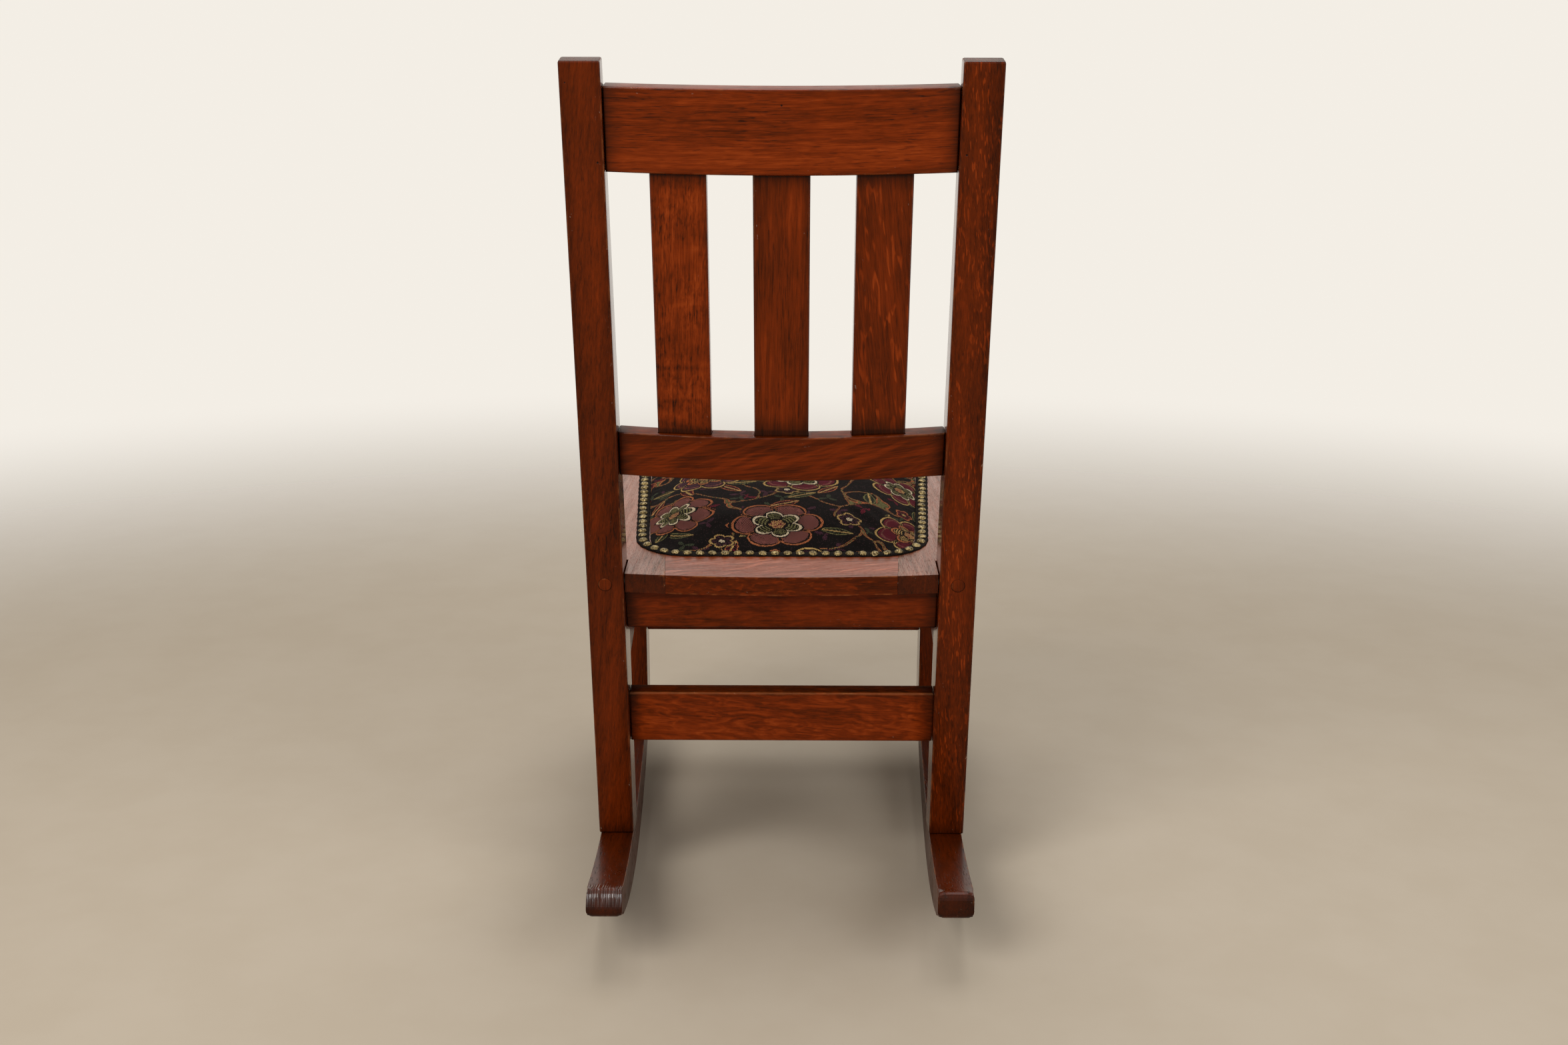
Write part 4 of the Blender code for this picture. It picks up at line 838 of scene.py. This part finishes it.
# Settled stuffing: low lumps over the top and a pull between the trim nails at the rim
def shapeStuffing(cushion):
    points = meshPoints(cushion)
    share = rimShare(points)
    x, y = points[:, 0], points[:, 1]
    lumps = (np.sin(47 * x + 1.3) * np.sin(39 * y + 0.4) + 0.6 * np.sin(83 * x - 31 * y + 2.0)
             + 0.5 * np.sin(29 * x + 71 * y + 0.9))
    inside = np.minimum(share, pad["fullest"])
    (power, ease), cadPower = pad["slope"], pad["cadSlope"]
    softer = (1 - inside ** power) ** ease / (1 - inside ** cadPower) ** (1 / cadPower)
    points[:, 2] *= np.where(points[:, 2] > 0, softer, 1)
    inner = (1 - smoothRise(*pad["lumpShare"], share)) * (points[:, 2] > pad["above"])
    points[:, 2] += pad["lump"] * lumps * inner
    even = trimLine(trim["gimpWidth"], pad["rimSteps"])[0]
    near = np.nonzero((share > pad["nearShare"]) & (points[:, 2] > pad["above"]))[0]
    order = np.abs((x + 1j * y)[near, None] - even[None, :]).argmin(1)
    reach = smoothRise(*pad["pullShare"], share[near]) * (1 - smoothRise(*pad["endShare"], share[near]))
    points[near, 2] += pad["pucker"] * nailWave(order / pad["rimSteps"]) * reach
    setPoints(cushion, points)


# Places on the cover before it was stretched: the drop at the rim is laid out beyond the top
def clothPlaces(points):
    x, y, z = points.T
    width, y = seatHalf(y), y - panelMiddle
    away = np.stack([np.sign(x) * np.abs(x / width) ** 4 / width,
                     np.sign(y) * np.abs(y / panelDepth) ** 4 / panelDepth], 1)
    away /= np.maximum(np.linalg.norm(away, axis=1), 1e-9)[:, None]
    drop = np.maximum(0, pad["shoulder"] - z) * smoothRise(*pad["dropShare"], rimShare(points))
    return np.column_stack([points[:, :2] + away * drop[:, None], np.zeros(len(points))])


cloth = dict(
    thread=(0.00085, 0.00105), ground=(0.0056, 0.0042, 0.0036), shadow=(0.026, 0.013, 0.014), specular=0.05,
    rust=(0.36, 0.115, 0.044), burgundy=(0.155, 0.013, 0.026), gold=(0.44, 0.275, 0.095), cream=(0.62, 0.50, 0.33),
    rose=(0.25, 0.082, 0.066), olive=(0.180, 0.160, 0.060), moss=(0.055, 0.064, 0.034), plum=(0.075, 0.024, 0.038),
    bigCells=8.4, bigRadius=0.044, smallCells=17.0, smallRadius=0.0135, leafCells=21.0, leafLength=0.036,
    leafWidth=0.013, sprigCells=40.0, sprigRadius=0.011, slide=(0.013, 0.021, 0), ladder=0.0032,
    roughness=0.80, bump=(0.00035, 0.8),
)


def either(choice, first, second):
    return choice.mix(cloth[first], cloth[second])


# The cover while it is woven: places snapped to the threads, and the colour so far
class Weave:
    def __init__(self, wire):
        thread = cloth["thread"]
        flat = attribute(wire, "cloth")
        spot = flat.vector("SNAP", (*thread, 1.0)).vector("ADD", (thread[0] / 2, thread[1] / 2, 0))
        self.speck = wire.node("ShaderNodeTexWhiteNoise", {"noise_dimensions": "2D"},
                               {"Vector": spot.vector("MULTIPLY", (3000, 3000, 1))})
        column, row = [(flat.part(axis) / thread[axis]).math("FLOOR") for axis in (0, 1)]
        self.order = (column * 0.5 + row * 0.25 + self.speck * 0.22 + 64).math("FRACT")
        self.wire, self.flat = wire, flat
        self.spot = spot.vector("ADD", cloth["slide"])
        self.colour = either(self.speck > 0.93, "ground", "shadow")

    # a coloured thread comes up at a share of the crossings inside a shape
    def stitch(self, shape, density, thread):
        thread = cloth[thread] if isinstance(thread, str) else thread
        self.colour = (shape * (self.order < density)).mix(self.colour, thread)

    def clear(self, shape):
        self.colour = shape.mix(self.colour, cloth["ground"])

    def cells(self, feature, spot, cells, randomness):
        return self.wire.node("ShaderNodeTexVoronoi", {"voronoi_dimensions": "2D", "feature": feature},
                              {"Vector": spot, "Scale": cells, "Randomness": randomness})

    # distance from the nearest flower's middle, angle round it and its three random shares
    def flowers(self, cells, randomness):
        nearest = self.cells("F1", self.spot, cells, randomness)
        chance = nearest.beside("Color")
        spoke = self.spot.vector("SUBTRACT", nearest.beside("Position"))
        turn = spoke.part(1).math("ARCTAN2", spoke.part(0)) + chance.part(0) * 6.283
        return spoke.vector("LENGTH", out=1), turn, [chance.part(axis) for axis in range(3)]


def petals(turn, number, depth):
    lobe = (turn * number * 0.5).math("COSINE").math("ABSOLUTE")
    return 1 - depth + lobe.math("POWER", 0.65) * depth, lobe


def weaveSprigs(weave):         # faint sprigs fill the ground
    radius, turn, chance = weave.flowers(cloth["sprigCells"], 0.9)
    stroke = (turn * 1.5).math("COSINE").math("ABSOLUTE").math("POWER", 3.0)
    shade = (chance[1] > 0.80).mix(either(chance[1] > 0.45, "plum", "moss"), cloth["burgundy"])
    weave.stitch((radius < stroke * cloth["sprigRadius"]) * (chance[2] > 0.45), 0.55, shade)


def weaveVines(weave):          # vines run between the large flowers
    spot = weave.spot
    drift = [spot.vector("ADD", (shift, 0, 0)).noise((15, 15, 1), 1.0) - 0.5 for shift in (0, 3)]
    swing = weave.wire.node("ShaderNodeCombineXYZ", {}, {0: drift[0], 1: drift[1]})
    bent = swing.vector("MULTIPLY_ADD", (0.16, 0.16, 0), spot)
    vine = weave.cells("DISTANCE_TO_EDGE", bent, cloth["bigCells"], 0.45)
    weave.stitch(vine < 0.026, 1.0, "ground")
    weave.stitch(vine.between(0.010, 0.019), 0.80, "rust")
    weave.stitch(vine < 0.008, 0.60, "olive")


def weaveLeaves(weave):         # an edge, a rib and slanting veins
    radius, turn, chance = weave.flowers(cloth["leafCells"], 0.75)
    along = radius * turn.math("COSINE") / (cloth["leafLength"] / 2)
    across = (radius * turn.math("SINE")).math("ABSOLUTE") / (cloth["leafWidth"] / 2)
    fullness = across + along * along
    chosen = chance[2] > 0.12
    veins = (along * 4.0 + 8 - across * 1.1).math("FRACT") > 0.55
    warm = chance[1] > 0.6
    weave.clear((fullness < 1.12) * chosen)
    weave.stitch((fullness < 0.86) * veins * chosen, 0.55, either(warm, "moss", "burgundy"))
    weave.stitch(fullness.between(0.80, 1.0) * chosen, 0.75, either(warm, "olive", "rust"))
    weave.stitch((across < 0.16) * (fullness < 1) * chosen, 0.80, "gold")


def weaveSmallFlowers(weave):
    radius, turn, chance = weave.flowers(cloth["smallCells"], 0.7)
    edge = petals(turn, 5, 0.34)[0]
    share = radius / (edge * cloth["smallRadius"])
    chosen = chance[2] > 0.40
    bright = chance[1] > 0.5
    hatch = (turn * 15.0).math("SINE") > 0.0
    weave.clear((share < 1.1) * chosen)
    weave.stitch(share.between(0.36, 0.82) * hatch * chosen, 0.60, either(bright, "burgundy", "plum"))
    weave.stitch(share.between(0.82, 1.0) * chosen, 0.75, either(bright, "rust", "gold"))
    weave.stitch((share < 0.26) * chosen, 0.70, either(bright, "gold", "cream"))


def weaveLargeFlowers(weave):   # two rings of hatched petals round a dotted eye
    radius, turn, chance = weave.flowers(cloth["bigCells"], 0.45)
    kind = chance[0]
    number = (chance[1] * 2.99).math("FLOOR") + 6
    size = cloth["bigRadius"] * (0.78 + chance[2] * 0.34)
    edge, lobe = petals(turn, number, 0.27)
    share = radius / (edge * size)
    rim = either(kind > 0.5, "rust", "gold")
    inside = (kind > 0.72).mix(either(kind > 0.36, "rose", "burgundy"), cloth["plum"])
    hatch = (turn * number * 4.0).math("SINE") > 0.0
    hatched = share.between(0.46, 0.90) * (hatch + 0.45 > weave.order) * (lobe > 0.28)
    weave.clear(share < 1.06)
    weave.stitch(hatched, 0.15 + share * 0.50, inside)
    weave.stitch(share.between(0.78, 0.83) * (lobe > 0.40), 0.60, "rose")
    weave.stitch(share.between(0.945, 1.0), 0.90, rim)
    weave.stitch(share.between(0.52, 0.94) * lobe.between(0.14, 0.24), 0.60, rim)

    ringEdge, ringLobe = petals(turn + 0.45, number, 0.40)
    ring = radius / (ringEdge * size * 0.56)
    ladder = (radius / cloth["ladder"]).math("FRACT") > 0.5
    dots = (turn * 9.0).math("SINE") * (radius * 2400.0).math("SINE") > 0.0
    weave.clear(ring < 1.08)
    weave.stitch(ring.between(0.42, 0.84) * ladder * (ringLobe > 0.35), 0.75, either(kind > 0.6, "olive", "gold"))
    weave.stitch(ring.between(0.89, 1.0), 0.90, either(kind > 0.6, "cream", "rust"))
    weave.stitch(share < 0.185, 0.85, either(dots, "gold", "burgundy"))


def makeFloralCloth():
    wire, material = newMaterial("woven_floral_cloth")
    weave = Weave(wire)
    for motif in (weaveSprigs, weaveVines, weaveLeaves, weaveSmallFlowers, weaveLargeFlowers):
        motif(weave)

    # each crossing of threads has its own shade and stands up a little
    shade = 0.70 + weave.speck * 0.48
    shades = wire.node("ShaderNodeCombineXYZ", {}, {0: shade, 1: shade, 2: shade})
    weave.colour = wire.node("ShaderNodeMix", {"data_type": "RGBA", "blend_type": "MULTIPLY"},
                             {0: 1.0, 6: weave.colour, 7: shades}, 2)
    waves = [(weave.flat.part(axis) * (math.pi / cloth["thread"][axis])).math("SINE").math("ABSOLUTE")
             for axis in (0, 1)]
    raised = (waves[0] * waves[1]).math("SQRT")
    # painted shade: the low places between the threads are darkened towards the ground colour
    weave.clear((1 - raised.rise(0.0, 0.42)) * 0.55)
    return finishMaterial(wire, material, {
        "Base Color": weave.colour, "Roughness": cloth["roughness"] + weave.speck * 0.15,
        "Specular IOR Level": cloth["specular"],
    }, raised + weave.speck * 0.35, cloth["bump"])


# Gimp: a ring of cord-edged braid, pushed down at the nails, with a fuzzy outer edge

gimp = dict(
    steps=2600, fuzz=0.00015, scallop=0.0003, loop=0.0026, loopSize=0.00054, loopMiddle=0.8, inward=0.0003,
    press=0.0003, pressAbove=0.001, stray=0.00012, loopLift=0.0003, loopLeast=-0.4, foot=0.0004, ribs=0.0013,
    # inset, height and share of fuzz round the section
    section=[(0.0, 0.0004, 1.0), (0.0006, 0.0010, 0.9), (0.0020, 0.0018, 0.2), (0.0052, 0.00144, 0.0),
             (0.0095, 0.0018, 0.1), (0.0120, 0.0011, 0.4), (0.0134, 0.0004, 0.4)],
    black=(0.0075, 0.0055, 0.0046), brown=(0.026, 0.017, 0.012), roughness=0.74, specular=0.08,
    bump=(0.0005, 0.9),
)


def makeGimpFinish():
    wire, material = newMaterial("black_gimp_braid")
    braid = attribute(wire, "braid")
    fuzz = braid.noise((2400, 2400, 1), 3.0, 0.7)
    slant, cross = [((braid.part(0) + braid.part(1) * lean) * (2 * math.pi / gimp["ribs"])).math("SINE")
                    for lean in (0.8, -0.8)]
    colour = (fuzz.rise(0.45, 0.75) * 0.8).mix(gimp["black"], gimp["brown"])
    height = slant.math("MAXIMUM", cross) * 0.6 + fuzz * 0.8
    inputs = {"Base Color": colour, "Roughness": gimp["roughness"] + fuzz * 0.2}
    return finishMaterial(wire, material, {**inputs, "Specular IOR Level": gimp["specular"]}, height, gimp["bump"])


def makeGimp(finish):
    count = gimp["steps"]
    spread = np.random.default_rng(5)
    order = np.arange(count) / count
    press = nailWave(order)
    bpy.ops.mesh.primitive_circle_add(vertices=count, radius=0.1)
    band = bpy.context.object
    band.name = band.data.name = "gimp-braid"
    rings = []
    for step, (inset, level, ragged) in enumerate(gimp["section"]):
        if step:
            editMesh()
            bpy.ops.mesh.extrude_region_move(TRANSFORM_OT_translate={"value": (0, 0, 0.0005)})
            leaveMesh()
        even, outward, length = trimLine(inset, count)
        ripple = spread.normal(0, 1, count) + np.roll(spread.normal(0, 1, count), 1)
        loops = np.abs(np.sin(math.pi * round(length / gimp["loop"]) * order)) - gimp["loopMiddle"]
        stray = ripple * gimp["fuzz"] + gimp["scallop"] * press + loops * gimp["loopSize"] - gimp["inward"]
        even = even + outward * stray * ragged
        lift = level - press * gimp["press"] * (level > gimp["pressAbove"])
        lift = lift + np.abs(spread.normal(0, 1, count)) * gimp["stray"] * ragged
        lift = lift + np.maximum(loops, gimp["loopLeast"]) * gimp["loopLift"] * ragged
        rings.append(np.stack([even.real, even.imag, np.maximum(lift, gimp["foot"])], 1))
    setPoints(band, np.concatenate(rings))
    takeUp(band)
    editMesh("SELECT")
    bpy.ops.mesh.region_to_loop()
    bpy.ops.mesh.bridge_edge_loops()
    bpy.ops.mesh.select_all(action="SELECT")
    bpy.ops.mesh.normals_make_consistent(inside=False)
    leaveMesh()
    braids = [np.stack([order * length, np.full(count, row[0]), np.zeros(count)], 1) for row in gimp["section"]]
    give(band, "braid", np.concatenate(braids))
    bpy.ops.object.shade_smooth()
    band.data.transform(seatPlane)
    dress(band, finish, "gimp_band")
    print("gimp made:", len(band.data.polygons), "faces")


# Trim nails: one hammered dome, copied along the gimp

def makeBrass():
    wire, material = newMaterial("antique_brass")
    where = objectPlace(wire)
    tarnish = where.noise((260, 260, 260), 3.0, 0.6)
    dents = wire.node("ShaderNodeTexVoronoi", {"feature": "SMOOTH_F1"},
                      {"Vector": where, "Scale": nails["dents"], "Smoothness": 0.25})
    colour = tarnish.rise(0.36, 0.62).mix(nails["dark"], nails["gold"])
    colour = (dents.rise(0.40, 0.75) * 0.45).mix(colour, nails["bright"])
    inputs = {"Base Color": colour, "Roughness": 0.30 + tarnish * 0.22, "Metallic": 1.0}
    return finishMaterial(wire, material, inputs, dents, nails["bump"])


def makeNails(finish):
    bpy.ops.mesh.primitive_uv_sphere_add(segments=nails["sides"], ring_count=nails["rings"], radius=nails["radius"])
    pattern = bpy.context.object
    editMesh()
    sliceWhole((0, 0, nails["cut"]), zAxis, clear_inner=True, use_fill=True, threshold=1e-6)
    bpy.ops.mesh.select_all(action="SELECT")
    bpy.ops.transform.resize(value=(1, 1, nails["rise"] / nails["radius"]))
    leaveMesh()
    spread = np.random.default_rng(3)
    even, outward = trimLine(nails["inset"], nails["steps"])[:2]
    chosen = np.round(nailShares() * nails["steps"]).astype(int) % nails["steps"]
    copies = []
    for point, out in zip(even[chosen], outward[chosen]):
        point = point - out * nails["sideInset"] * out.real ** 2
        nail = bpy.data.objects.new("nail", pattern.data.copy())
        scene.collection.objects.link(nail)
        tipX, tipY = [Matrix.Rotation(spread.normal(0, nails["tilt"]), 4, axis) for axis in "XY"]
        spin = Matrix.Rotation(spread.uniform(0, 6.28), 4, "Z")
        slip = spread.normal(0, nails["slip"], 2)
        place = (point.real + slip[0], point.imag + slip[1], nails["level"])
        nail.data.transform(seatPlane @ Matrix.Translation(place) @ tipX @ tipY @ spin)
        copies.append(nail)
    bpy.data.objects.remove(pattern)
    takeUp(copies[0])
    for nail in copies:
        nail.select_set(True)
    bpy.ops.object.join()
    row = bpy.context.object
    row.name = row.data.name = "trim-nails"
    bpy.ops.object.shade_smooth_by_angle(angle=math.radians(nails["smooth"]))
    dress(row, finish)
    print("nails made:", len(copies))


makeCushion(makeFloralCloth())
makeGimp(makeGimpFinish())
makeNails(makeBrass())


# Stage: pale floor, soft lamps and the camera of the photograph

stage = dict(
    floor=(0.43, 0.365, 0.285), size=60, drop=0.0002, middle=(0, -1.0, 0), fadeFrom=1.75, fadeTo=3.6,
    mottle=0.03, roughness=0.85, specular=0.2, backdrop=(0.90, 0.855, 0.785), ambient=0.42, aim=(0, 0, 0.38),
)
lamps = [  # name, place, size, power, colour
    ("key softbox", (-1.5, -2.1, 2.1), 1.6, 52, (1.0, 0.975, 0.94)),
    ("fill softbox", (1.9, -1.6, 1.5), 1.6, 26, (0.97, 0.985, 1.0)),
    ("top softbox", (0.0, 0.5, 2.6), 1.8, 30, (1.0, 1.0, 1.0)),
]
view = dict(place=(0.0091, -1.6855, 0.8070), yaw=-0.257, pitch=15.346, roll=0.122, focal=2501.5, frameWidth=2352,
            sensor=36.0)


def makeFloor():
    bpy.ops.mesh.primitive_plane_add(size=stage["size"], location=(0, 0, 0))
    floor = bpy.context.object
    floor.name = "studio-floor"
    floor.data.transform(Matrix.Translation((0, 0, -stage["drop"])))
    wire, material = newMaterial("studio_floor")
    where = objectPlace(wire)
    far = where.vector("DISTANCE", stage["middle"], out=1).rise(stage["fadeFrom"], stage["fadeTo"])
    mottle = where.noise((9, 9, 1), 3.0, 0.6)
    colour = (mottle.rise(0.3, 0.7) * stage["mottle"]).mix(stage["floor"], stage["backdrop"])
    finishMaterial(wire, material, {"Base Color": colour, "Roughness": stage["roughness"],
                                    "Specular IOR Level": stage["specular"]})
    nodes = material.node_tree.nodes
    solid, clear = Wire(wire.tree, nodes["Principled BSDF"].outputs[0]), wire.node("ShaderNodeBsdfTransparent")
    blend = wire.node("ShaderNodeMixShader", {}, {0: far, 1: solid, 2: clear})
    wire.feed(nodes["Material Output"].inputs["Surface"], blend)
    floor.data.materials.append(material)


def makeLight():
    world = bpy.data.worlds.new("studio")
    scene.world = world
    world.use_nodes = True
    wire = Wire(world.node_tree)
    background = world.node_tree.nodes["Background"]
    path = wire.node("ShaderNodeLightPath")
    seen = path.beside("Is Camera Ray")
    for name in ("Is Glossy Ray", "Is Transmission Ray"):
        seen = seen.math("MAXIMUM", path.beside(name))
    wire.feed(background.inputs["Color"], stage["backdrop"])
    wire.feed(background.inputs["Strength"], stage["ambient"] + seen * (1 - stage["ambient"]))
    for name, place, size, power, colour in lamps:
        light = bpy.data.lights.new(name, "AREA")
        light.shape = "DISK"
        light.size, light.energy, light.color = size, power, colour
        lamp = bpy.data.objects.new(name, light)
        lamp.location = place
        lamp.rotation_euler = (Vector(stage["aim"]) - Vector(place)).to_track_quat("-Z", "Y").to_euler()
        scene.collection.objects.link(lamp)
    print("stage made")


def makeCamera():
    yaw, pitch, roll = (math.radians(view[key]) for key in ("yaw", "pitch", "roll"))
    lens = bpy.data.cameras.new("photo camera")
    lens.sensor_width = view["sensor"]
    lens.lens = view["focal"] / view["frameWidth"] * lens.sensor_width
    camera = bpy.data.objects.new("photo camera", lens)
    camera.matrix_world = (Matrix.Translation(view["place"]) @ Matrix.Rotation(-yaw, 4, "Z")
                           @ Matrix.Rotation(math.pi / 2 - pitch, 4, "X") @ Matrix.Rotation(roll, 4, "Z"))
    scene.collection.objects.link(camera)
    scene.camera = camera
    print("camera made")


makeFloor()
makeLight()
makeCamera()
